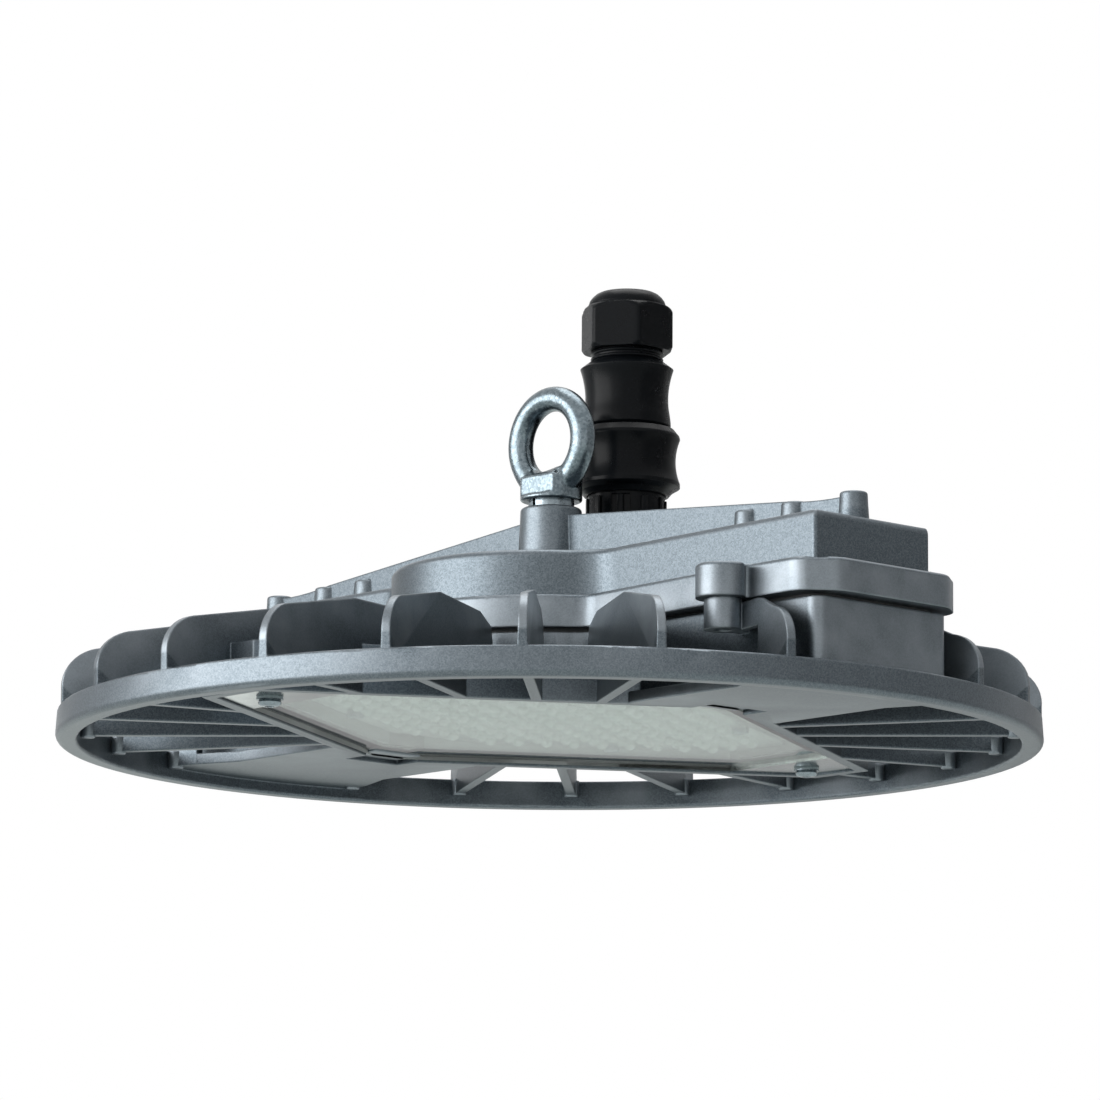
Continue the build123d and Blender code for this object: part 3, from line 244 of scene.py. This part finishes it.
PHOSPHOR = finish_material(
    "led_phosphor", (0.78, 0.66, 0.22), (0.86, 0.76, 0.34), (0.9, 0.82, 0.5),
    0.0, (0.3, 0.45), flakes=3000.0, mottle=300.0, bump=0.05, depth=0.03,
)
BRASS = finish_material(
    "contact_brass", (0.62, 0.44, 0.18), (0.7, 0.52, 0.24), (0.8, 0.64, 0.36),
    1.0, (0.2, 0.32), flakes=1500.0, mottle=240.0, bump=0.05, depth=0.03,
)
SHEET = finish_material(
    "driver_sheet", (0.5, 0.51, 0.52), (0.57, 0.58, 0.59), (0.72, 0.73, 0.74),
    0.9, (0.3, 0.42), flakes=1000.0, mottle=70.0, bump=0.06, depth=0.05,
)
TERMINAL = finish_material(
    "terminal_polyamide", (0.55, 0.55, 0.52), (0.62, 0.62, 0.59), (0.72, 0.72, 0.7),
    0.0, (0.4, 0.5), flakes=2000.0, mottle=160.0, bump=0.06, depth=0.04,
)
WIRE = finish_material(
    "wire_sleeve", (0.13, 0.06, 0.03), (0.17, 0.08, 0.04), (0.22, 0.12, 0.08),
    0.0, (0.3, 0.4), flakes=2200.0, mottle=260.0, bump=0.04, depth=0.03,
)
GLASS = finish_material(
    "pane_glass", (0.92, 0.985, 0.955), (0.94, 1.0, 0.97), (0.8, 0.95, 0.89),
    0.0, (0.0, 0.03), flakes=300.0, mottle=30.0, bump=0.004, depth=0.05,
    IOR=1.5, Transmission_Weight=1.0,
)

FINISH_OF_SLOT = {
    "cast_paint": PAINT,
    "zinc_steel": ZINC,
    "stainless": STAINLESS,
    "black_plastic": BLACK,
    "seal_rubber": RUBBER,
    "pane_glass": GLASS,
    "clear_optic": OPTIC,
    "board_white": BOARD,
    "led_phosphor": PHOSPHOR,
    "contact_brass": BRASS,
    "driver_case": SHEET,
    "terminal_plastic": TERMINAL,
    "wire_sleeve": WIRE,
}

slot_of_node = {row["node"]: row["material_slot"] for row in frame["record"]["subparts"]}
for node_name, node in nodes.items():
    node.data.materials.clear()
    node.data.materials.append(FINISH_OF_SLOT[slot_of_node[node_name]])


# Pieces that take the place of castings and fittings, or add their fine forms.
# Their sizes are in millimetres.

def held(value, low=0.0, high=1.0):
    """A value kept between two limits."""
    return max(low, min(high, value))


def merged_copy(node_name):
    """A closed copy of a node's mesh."""
    bm = bmesh.new()
    bm.from_mesh(nodes[node_name].data)
    bmesh.ops.remove_doubles(bm, verts=bm.verts, dist=0.000002)
    return bm


def add_piece(name, bm, slot, replaced=None, crease=28.0, finish=None):
    """A finished piece on the root body, smooth within its creases."""
    bmesh.ops.recalc_face_normals(bm, faces=bm.faces)
    for face in bm.faces:
        face.smooth = True
    for edge in bm.edges:
        edge.smooth = len(edge.link_faces) != 2 or edge.calc_face_angle(0.0) < math.radians(crease)
    mesh = bpy.data.meshes.new(name)
    bm.to_mesh(mesh)
    bm.free()
    mesh.materials.append(finish or FINISH_OF_SLOT[slot])
    piece = bpy.data.objects.new(name, mesh)
    bpy.context.scene.collection.objects.link(piece)
    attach(piece, "root")
    if replaced:
        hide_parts(replaced)
    return piece


def even_normals(piece):
    """Flat faces stay flat beside their rounded edges."""
    level = piece.modifiers.new("even_normals", "WEIGHTED_NORMAL")
    level.keep_sharp = True
    level.weight = 80


def round_edges(bm, edges, offset, segments):
    """Rounded edges of a width in millimetres."""
    bmesh.ops.bevel(
        bm, geom=edges, offset=offset * MM, affect="EDGES", segments=segments, profile=0.5, material=-1
    )


def add_block(bm, size, place):
    """A block of a size in millimetres about its middle; its points are given back."""
    block = bmesh.ops.create_cube(bm, size=1.0)["verts"]
    bmesh.ops.scale(bm, vec=Vector(size) * MM, verts=block)
    bmesh.ops.translate(bm, vec=Vector(place) * MM, verts=block)
    return block


def cut_everything(bm, place, normal, **more):
    """New edges where a plane crosses the mesh."""
    bmesh.ops.bisect_plane(
        bm, geom=bm.verts[:] + bm.edges[:] + bm.faces[:], plane_co=place, plane_no=normal, **more
    )


def turned_shape(bm, profile, axis_y, steps=64):
    """A closed profile of radii and heights in millimetres, spun round an upright axis."""
    verts = [bm.verts.new((r * MM, axis_y * MM, z * MM)) for r, z in profile]
    edges = [bm.edges.new((a, b)) for a, b in zip(verts, verts[1:] + verts[:1])]
    bmesh.ops.spin(
        bm, geom=verts + edges, cent=(0, axis_y * MM, 0), axis=(0, 0, 1),
        angle=TURN, steps=steps, use_merge=True, use_duplicate=False,
    )


# The cover's box, its skirt and the trough in the solids, and how much further out they are seen.
# A share below 1 is what stays of a rounded corner.
BOX_END = 143.0
BOX_SIDE = 22.0
BOX_FOOT = 40.0
BOX_SHOULDER = 52.5
BOX_CORNER = 2.9
BOX_CORNER_SHARE = 0.45
BOX_SPREAD = 2.2
SKIRT_SIDE = 26.5
SKIRT_END = 147.0
SKIRT_SPREAD = 3.8
SKIRT_END_SPREAD = 2.6
EAR_REACH = 36.8
EAR_FADE = 7.8
TROUGH_SIDE = 26.5
TROUGH_END = 145.5
TROUGH_LOW = 5.0
TROUGH_CORNER = 8.0
TROUGH_CORNER_SHARE = 0.52
TROUGH_SPREAD = 1.4
TROUGH_END_SPREAD = 2.0
SPREAD_START = 50.0
SPREAD_FULL = 70.0

# The fins' outer corners: where they start, and how much fuller they are seen
FIN_END = 154.3
FIN_TOP = 26.2
FIN_CORNER_START = 144.9
FIN_CORNER_LOW = 14.4
FIN_CORNER_OUT = 1.25
FIN_CORNER_UP = 1.13
FIRST_FIN_SIDE = 45.0


def spread_along(x):
    """Share of the spread that the walls have at this distance from the middle."""
    return held((abs(x) - SPREAD_START) / (SPREAD_FULL - SPREAD_START))


def make_cover_casting():
    """The cover with its box and skirt at their seen width and a tighter upright corner."""
    bm = merged_copy("housing_cover")
    for vert in bm.verts:
        x, y, z = (c / MM for c in vert.co)
        side = math.copysign(1.0, y)
        end = math.copysign(1.0, x)
        at_foot = z < BOX_FOOT + 0.1
        if z > BOX_FOOT - 0.1 and abs(y) < BOX_SIDE + 1.0:
            in_corner = abs(x) > BOX_END - BOX_CORNER and abs(y) > BOX_SIDE - BOX_CORNER
            on_top = z > BOX_SHOULDER and abs(y) > BOX_SIDE - 3.0
            wall = abs(y) > BOX_SIDE - 1.0 or on_top or (at_foot and in_corner)
            if wall and in_corner:
                x = end * (BOX_END - (BOX_END - abs(x)) * BOX_CORNER_SHARE)
                y = side * (BOX_SIDE - (BOX_SIDE - abs(y)) * BOX_CORNER_SHARE)
            if wall:
                y += side * BOX_SPREAD * spread_along(x)
        elif abs(y) > SKIRT_SIDE:
            clear_of_ear = held((EAR_REACH - abs(y)) / EAR_FADE)
            y += side * SKIRT_SPREAD * spread_along(x) * clear_of_ear
        if at_foot and abs(x) > SKIRT_END:
            x += end * SKIRT_END_SPREAD
        vert.co = (x * MM, y * MM, z * MM)
    even_normals(add_piece("cover_casting", bm, "cast_paint", "housing_cover"))


def make_fin_casting():
    """The casting with its trough at its seen size and fuller outer fin corners."""
    bm = merged_copy("heatsink")
    corner = (TROUGH_END - TROUGH_CORNER, TROUGH_SIDE - TROUGH_CORNER)
    for vert in bm.verts:
        x, y, z = (c / MM for c in vert.co)
        side = math.copysign(1.0, y)
        end = math.copysign(1.0, x)
        reach = math.hypot(x, y)
        by_trough = SPREAD_START < abs(x) < TROUGH_END + 0.4 and abs(y) < TROUGH_SIDE + 0.5
        if z > TROUGH_LOW and by_trough:
            past = (abs(x) - corner[0], abs(y) - corner[1])
            in_corner = min(past) > -0.1 and math.hypot(*past) > TROUGH_CORNER - 0.5
            long_wall = abs(abs(y) - TROUGH_SIDE) < 0.5
            short_wall = abs(abs(x) - TROUGH_END) < 0.3
            if in_corner:
                x = end * (TROUGH_END - (TROUGH_END - abs(x)) * TROUGH_CORNER_SHARE + TROUGH_END_SPREAD)
                y = side * (TROUGH_SIDE - (TROUGH_SIDE - abs(y)) * TROUGH_CORNER_SHARE + TROUGH_SPREAD)
            elif long_wall:
                y += side * TROUGH_SPREAD * spread_along(x)
            elif short_wall:
                x += end * TROUGH_END_SPREAD
        elif reach > FIN_CORNER_START and z > FIN_CORNER_LOW and abs(y) > FIRST_FIN_SIDE:
            out = FIN_END - (FIN_END - reach) * FIN_CORNER_OUT
            x, y = x * out / reach, y * out / reach
            z = FIN_TOP - (FIN_TOP - z) * FIN_CORNER_UP
        vert.co = (x * MM, y * MM, z * MM)
    even_normals(add_piece("fin_casting", bm, "cast_paint", "heatsink"))


EYE_LIFT = 1.2
EYE_LIFT_START = 80.0
EYE_LIFT_RUN = 8.0


def make_eyebolt():
    """The forged eyebolt, its ring a little higher and flowing into the collar."""
    bm = merged_copy("eyebolt")
    for vert in bm.verts:
        vert.co.z += EYE_LIFT * MM * held((vert.co.z / MM - EYE_LIFT_START) / EYE_LIFT_RUN)
    ring = add_piece("forged_eyebolt", bm, "zinc_steel", "eyebolt", crease=180.0)
    even = ring.modifiers.new("even_mesh", "REMESH")
    even.mode = "VOXEL"
    even.voxel_size = 0.45 * MM
    even.use_smooth_shade = True
    flow = ring.modifiers.new("forged_blend", "SMOOTH")
    flow.factor = 0.5
    flow.iterations = 9


GLAND_AXIS = 32.4
GLAND_FOOT = 131.8
GLAND_TOP = 146.6
NUT_ACROSS = 26.6
NUT_TURN = 62.0
NUT_FOOT_RISE = 1.6
NUT_DOME_RISE = 4.2
NUT_DOME_STEPS = 12


def nut_reach(z):
    """Largest radius of the nut at a height: chamfered foot, domed shoulder."""
    foot = held((z - GLAND_FOOT) / NUT_FOOT_RISE)
    shoulder = held((z - GLAND_TOP + NUT_DOME_RISE) / NUT_DOME_RISE)
    return min(14.2 + 1.2 * foot, 12.7 + 2.7 * math.sqrt(1 - shoulder**2))


def make_gland_nut():
    """Six-sided compression nut with domed shoulders under a round crown."""
    bm = bmesh.new()
    corner = NUT_ACROSS / math.sqrt(3) * MM
    bmesh.ops.create_cone(
        bm, cap_ends=True, segments=6, radius1=corner, radius2=corner,
        depth=(GLAND_TOP - GLAND_FOOT) * MM,
    )
    round_edges(bm, [e for e in bm.edges if abs(e.verts[0].co.z - e.verts[1].co.z) > MM], 0.7, 3)
    turn = Matrix.Rotation(math.radians(NUT_TURN), 3, "Z")
    bmesh.ops.rotate(bm, cent=(0, 0, 0), matrix=turn, verts=bm.verts)
    middle = (0, GLAND_AXIS * MM, (GLAND_FOOT + GLAND_TOP) / 2 * MM)
    bmesh.ops.translate(bm, vec=middle, verts=bm.verts)
    heights = [GLAND_FOOT + NUT_FOOT_RISE / 4 * k for k in range(1, 5)]
    heights += [GLAND_TOP - NUT_DOME_RISE * (1 - k / NUT_DOME_STEPS) for k in range(NUT_DOME_STEPS)]
    for height in heights:
        cut_everything(bm, (0, 0, height * MM), (0, 0, 1))
    for k in range(36):
        angle = TURN / 72 * k
        normal = (math.cos(angle), math.sin(angle), 0)
        cut_everything(bm, (0, GLAND_AXIS * MM, 0), normal, dist=0.000001)
    for vert in bm.verts:
        out = Vector((vert.co.x, vert.co.y - GLAND_AXIS * MM))
        limit = nut_reach(vert.co.z / MM) * MM
        if out.length > limit:
            out *= limit / out.length
            vert.co.x, vert.co.y = out.x, out.y + GLAND_AXIS * MM
    crown = [
        (12.5, 146.0), (12.5, 147.2), (12.1, 148.4), (11.3, 149.5), (10.2, 150.5), (9.0, 151.1),
        (8.4, 151.1), (8.2, 150.8), (8.2, 146.0),
    ]
    turned_shape(bm, crown, GLAND_AXIS)
    add_piece("hex_gland", bm, "black_plastic", "gland_nut", crease=24.0)


def make_neck_thread():
    """The two crests of the plug's thread that show under the nut."""
    bm = bmesh.new()
    crest = [(10.9, -0.3), (11.6, 0.1), (11.75, 0.45), (11.6, 0.8), (10.9, 1.2)]
    for foot in (128.9, 130.6):
        turned_shape(bm, [(r, foot + rise) for r, rise in crest], GLAND_AXIS, steps=48)
    add_piece("plug_thread", bm, "black_plastic")


RIBS = 10
FIRST_RIB = 0.35
RIB_SIZE = (0.9, 2.0, 21.0)
RIB_PLACE = (12.6, 0.0, 73.0)


def make_socket_ribs():
    """Upright ribs round the socket under the coupling ring."""
    bm = bmesh.new()
    for k in range(RIBS):
        turn = Matrix.Rotation(TURN * k / RIBS + FIRST_RIB, 3, "Z")
        rib = add_block(bm, RIB_SIZE, RIB_PLACE)
        bmesh.ops.rotate(bm, cent=(0, 0, 0), matrix=turn, verts=rib)
        bmesh.ops.translate(bm, vec=(0, GLAND_AXIS * MM, 0), verts=rib)
    round_edges(bm, bm.edges[:], 0.25, 2)
    add_piece("socket_ribs", bm, "black_plastic")


LED_PITCH = 9.2
LED_ROW = LED_PITCH * math.sin(math.radians(60))
LED_APOTHEM = 50.0
LED_HALF_WIDTH = 47.5
LED_HALF_LENGTH = 83.0
BOARD_SCREW = (30.0, 54.5)
BOARD_SCREW_ROOM = 5.2
DOME_RADIUS = 1.9
DOME_SQUASH = 0.85
DOME_MIDDLE = 12.25


def led_spots():
    """Places of the optic's domes, one over each LED of the triangular grid."""
    for row in range(-11, 12):
        for column in range(-11, 12):
            x = (column + (row % 2) / 2) * LED_PITCH
            y = row * LED_ROW
            inside = abs(x) * math.sin(math.radians(60)) + abs(y) * 0.5 <= LED_APOTHEM
            inside = inside and abs(x) <= LED_HALF_WIDTH and abs(y) <= LED_HALF_LENGTH
            from_screw = math.hypot(abs(x) - BOARD_SCREW[0], abs(y) - BOARD_SCREW[1])
            if inside and from_screw >= BOARD_SCREW_ROOM:
                yield x, y


def make_optic_domes():
    """One low dome per LED under the optic plate, its clear material whitened as a painted highlight.
    """
    one = bmesh.new()
    bmesh.ops.create_uvsphere(one, u_segments=14, v_segments=8, radius=DOME_RADIUS * MM)
    bmesh.ops.scale(one, vec=(1, 1, DOME_SQUASH), verts=one.verts)
    bmesh.ops.translate(one, vec=(0, 0, DOME_MIDDLE * MM), verts=one.verts)
    dome = bpy.data.meshes.new("dome")
    one.to_mesh(dome)
    one.free()
    bm = bmesh.new()
    for x, y in led_spots():
        step = Matrix.Translation((x * MM, y * MM, 0))
        dome.transform(step)
        bm.from_mesh(dome)
        dome.transform(step.inverted())
    bpy.data.meshes.remove(dome)
    add_piece("optic_domes", bm, "clear_optic", crease=60.0, finish=DOME_PAINTED_HIGHLIGHT)


def lozenge_band(bm, apothem, tip, corner, width, low, high):
    """An upright band that follows the lamp window, a lozenge with all four corners cut.

    apothem is the distance of its long sides from the middle, tip and corner those of the cuts
    along y and x.
    """
    sine, cosine = math.sin(math.radians(60)), math.cos(math.radians(60))
    # the two corners of one quarter
    a = (corner, (apothem - corner * sine) / cosine)
    b = ((apothem - tip * cosine) / sine, tip)
    outline = [a, b] + [(-x, y) for x, y in (b, a)]
    outline += [(-x, -y) for x, y in outline]
    face = bm.faces.new([bm.verts.new((x * MM, y * MM, low * MM)) for x, y in outline])
    ring = bmesh.ops.inset_region(
        bm, faces=[face], thickness=width * MM, use_boundary=True, use_even_offset=True
    )["faces"]
    bmesh.ops.delete(bm, geom=[face], context="FACES_ONLY")
    risen = bmesh.ops.extrude_face_region(bm, geom=ring, use_keep_orig=True)["geom"]
    lifted = [v for v in risen if isinstance(v, bmesh.types.BMVert)]
    bmesh.ops.translate(bm, vec=(0, 0, (high - low) * MM), verts=lifted)


def make_window_bands():
    """The silicone bead round the pane's edge and a thin sheet over the lamp chamber's walls, both in a
    pale colour that is painted reflected light.
    """
    bm = bmesh.new()
    lozenge_band(bm, apothem=71.4, tip=108.2, corner=78.6, width=0.6, low=4.9, high=9.8)
    add_piece("pane_bead", bm, "seal_rubber", finish=PALE_PAINTED_REFLECTION)
    bm = bmesh.new()
    # The chamber's walls are silver paint; this pale sheet over them is painted reflected light.
    lozenge_band(bm, apothem=63.4, tip=95.9, corner=68.9, width=0.4, low=11.0, high=15.8)
    add_piece("chamber_reflection_sheet", bm, "board_white", finish=PALE_PAINTED_REFLECTION)


TAB_SIZE = (12.6, 19.8, 5.4)
TAB_REACH = 79.6
TAB_MIDDLE = 8.1


def make_frame_tabs():
    """The cast tab in the lamp frame's pocket beside each arm plate."""
    bm = bmesh.new()
    for side in (1, -1):
        add_block(bm, TAB_SIZE, (side * TAB_REACH, 0, TAB_MIDDLE))
    round_edges(bm, bm.edges[:], 0.6, 3)
    add_piece("frame_tabs", bm, "cast_paint")


FINS = 24
POST_REACH = 146.0
POST_MIDDLE = 6.2
POST_HEIGHT = 5.6
POST_RADII = (2.5, 2.7)


def make_fin_posts():
    """The short round post at the foot of each fin, against the rim's inner wall."""
    bm = bmesh.new()
    for k in range(FINS):
        if k in (0, FINS // 2):  # an arm of the housing stands here in place of a fin
            continue
        post = bmesh.ops.create_cone(
            bm, cap_ends=True, segments=20, radius1=POST_RADII[0] * MM, radius2=POST_RADII[1] * MM,
            depth=POST_HEIGHT * MM,
        )["verts"]
        bmesh.ops.translate(bm, vec=(POST_REACH * MM, 0, POST_MIDDLE * MM), verts=post)
        turn = Matrix.Rotation(TURN / FINS * k, 3, "Z")
        bmesh.ops.rotate(bm, cent=(0, 0, 0), matrix=turn, verts=post)
    foot = POST_MIDDLE - POST_HEIGHT / 2 + 0.2
    round_edges(bm, [e for e in bm.edges if all(v.co.z < foot * MM for v in e.verts)], 0.6, 3)
    add_piece("fin_posts", bm, "cast_paint")


SCREW_REACH = 113.5
SCREW_PROFILE = [
    (0.0, 2.9), (1.25, 2.9), (1.45, 1.75), (2.1, 1.7), (2.9, 1.95), (3.45, 2.45), (3.6, 3.0),
    (3.35, 3.3), (3.35, 3.6), (4.1, 3.75), (4.15, 4.45), (4.0, 4.7), (2.0, 4.7), (2.0, 8.0), (0.0, 8.0),
]


def make_retainer_screws():
    """Round-headed screws with a flange and a round recess under the glass retainers."""
    bm = bmesh.new()
    for place in (SCREW_REACH, -SCREW_REACH):
        verts = [bm.verts.new((r * MM, place * MM, z * MM)) for r, z in SCREW_PROFILE]
        edges = [bm.edges.new(pair) for pair in zip(verts, verts[1:])]
        bmesh.ops.spin(
            bm, geom=verts + edges, cent=(0, place * MM, 0), axis=(0, 0, 1),
            angle=TURN, steps=48, use_merge=True, use_duplicate=False,
        )
    bmesh.ops.remove_doubles(bm, verts=bm.verts, dist=0.000002)
    add_piece("flanged_screws", bm, "zinc_steel", "retainer_screws", crease=40.0)


make_cover_casting()
make_fin_casting()
make_eyebolt()
make_gland_nut()
make_neck_thread()
make_socket_ribs()
make_optic_domes()
make_window_bands()
make_frame_tabs()
make_fin_posts()
make_retainer_screws()


# Studio

AIM = (0, 0, 0.04)
CARD_AIM = (0, 0, 0.05)


def area_lamp(name, place, width, height, power):
    """A rectangular lamp that faces the object."""
    lamp = bpy.data.lights.new(name, "AREA")
    lamp.shape = "RECTANGLE"
    lamp.size = width
    lamp.size_y = height
    lamp.energy = power
    holder = bpy.data.objects.new(name, lamp)
    holder.location = place
    holder.rotation_mode = "QUATERNION"
    holder.rotation_quaternion = (Vector(AIM) - Vector(place)).to_track_quat("-Z", "Y")
    bpy.context.scene.collection.objects.link(holder)


def studio_piece(name, bm, finish_name):
    """A card or the floor, with its finish's shader tree."""
    mesh = bpy.data.meshes.new(name)
    bm.to_mesh(mesh)
    bm.free()
    piece = bpy.data.objects.new(name, mesh)
    bpy.context.scene.collection.objects.link(piece)
    made = bpy.data.materials.new(finish_name)
    made.use_nodes = True
    mesh.materials.append(made)
    return piece, made.node_tree


def dark_card(name, place, width, height, shade):
    """A card beside the object that darkens what its finish mirrors, unseen by the camera."""
    bm = bmesh.new()
    bmesh.ops.create_grid(bm, x_segments=1, y_segments=1, size=0.5)
    bmesh.ops.scale(bm, vec=(width, height, 1), verts=bm.verts)
    turn = (Vector(CARD_AIM) - Vector(place)).to_track_quat("Z", "Y").to_matrix().to_4x4()
    bmesh.ops.transform(bm, matrix=Matrix.Translation(place) @ turn, verts=bm.verts)
    card, tree = studio_piece(name, bm, name)
    tree.nodes["Principled BSDF"].inputs["Base Color"].default_value = (shade, shade, shade, 1)
    card.visible_camera = False
    card.visible_transmission = False
    card.visible_shadow = False


def make_camera():
    """Low camera beside the near corner between housing arm and lamp window, looking up a little."""
    lens = bpy.data.cameras.new("camera")
    lens.lens = 184.18
    lens.clip_start = 0.05
    lens.clip_end = 50
    camera = bpy.data.objects.new("camera", lens)
    camera.location = (1.30232, -1.17422, -0.24128)
    right = Vector((0.67042531, 0.74194254, 0.00715331))
    up = Vector((0.12230714, -0.12001644, 0.98520912))
    back = right.cross(up)
    camera.rotation_mode = "QUATERNION"
    camera.rotation_quaternion = Matrix((right, up, back)).transposed().to_quaternion()
    bpy.context.scene.collection.objects.link(camera)
    bpy.context.scene.camera = camera


def make_world():
    """White to the eye and in reflections, a plain level for the light."""
    world = bpy.data.worlds.new("studio")
    bpy.context.scene.world = world
    world.use_nodes = True
    tree = world.node_tree
    shade = tree.nodes["Background"]
    path = tree.nodes.new("ShaderNodeLightPath")
    seen = math_node(tree, "MAXIMUM", path.outputs["Is Camera Ray"], path.outputs["Is Glossy Ray"])
    seen = math_node(tree, "MAXIMUM", seen, path.outputs["Is Transmission Ray"])
    white = mix_colour(tree, seen, (0.5, 0.51, 0.52), (1.0, 1.0, 1.0))
    tree.links.new(white, shade.inputs["Color"])
    shade.inputs["Strength"].default_value = 1.0


FLOOR_HALF_WIDTH = 6.0
FLOOR_LEVEL = -0.45


def make_floor():
    """Pale floor, white in reflections and through glass, and open to a camera below it."""
    bm = bmesh.new()
    bmesh.ops.create_grid(bm, x_segments=1, y_segments=1, size=FLOOR_HALF_WIDTH)
    bmesh.ops.translate(bm, vec=(0, 0, FLOOR_LEVEL), verts=bm.verts)
    floor, tree = studio_piece("floor", bm, "pale_floor")
    shader = tree.nodes["Principled BSDF"]
    shader.inputs["Base Color"].default_value = (0.82, 0.82, 0.82, 1)
    shader.inputs["Roughness"].default_value = 0.7
    clear = tree.nodes.new("ShaderNodeBsdfTransparent")
    side = tree.nodes.new("ShaderNodeNewGeometry")
    both = tree.nodes.new("ShaderNodeMixShader")
    tree.links.new(side.outputs["Backfacing"], both.inputs[0])
    path = tree.nodes.new("ShaderNodeLightPath")
    mirrored = tree.nodes.new("ShaderNodeEmission")
    mirrored.inputs["Color"].default_value = (0.95, 1.0, 0.97, 1)
    seen = tree.nodes.new("ShaderNodeMixShader")
    glossy, passed = path.outputs["Is Glossy Ray"], path.outputs["Is Transmission Ray"]
    tree.links.new(math_node(tree, "MAXIMUM", glossy, passed), seen.inputs[0])
    tree.links.new(shader.outputs[0], seen.inputs[1])
    tree.links.new(mirrored.outputs[0], seen.inputs[2])
    tree.links.new(seen.outputs[0], both.inputs[1])
    tree.links.new(clear.outputs[0], both.inputs[2])
    tree.links.new(both.outputs[0], tree.nodes["Material Output"].inputs[0])


make_camera()
make_world()
make_floor()
area_lamp("left_softbox", (-0.78, -1.72, 0.4), 1.9, 1.2, 35)
area_lamp("front_softbox", (0.5, -1.75, 0.35), 0.8, 1.1, 2.4)
area_lamp("top_softbox", (-0.2, 0.3, 1.6), 1.2, 1.2, 12)
dark_card("right_card", (1.25, 1.05, 0.3), 3.0, 1.6, 0.45)
dark_card("back_card", (-0.75, 1.5, 0.3), 1.8, 1.6, 0.45)
dark_card("left_card", (-1.8, -0.3, 0.3), 1.6, 1.6, 0.7)

scene = bpy.context.scene
scene.view_settings.view_transform = "Standard"
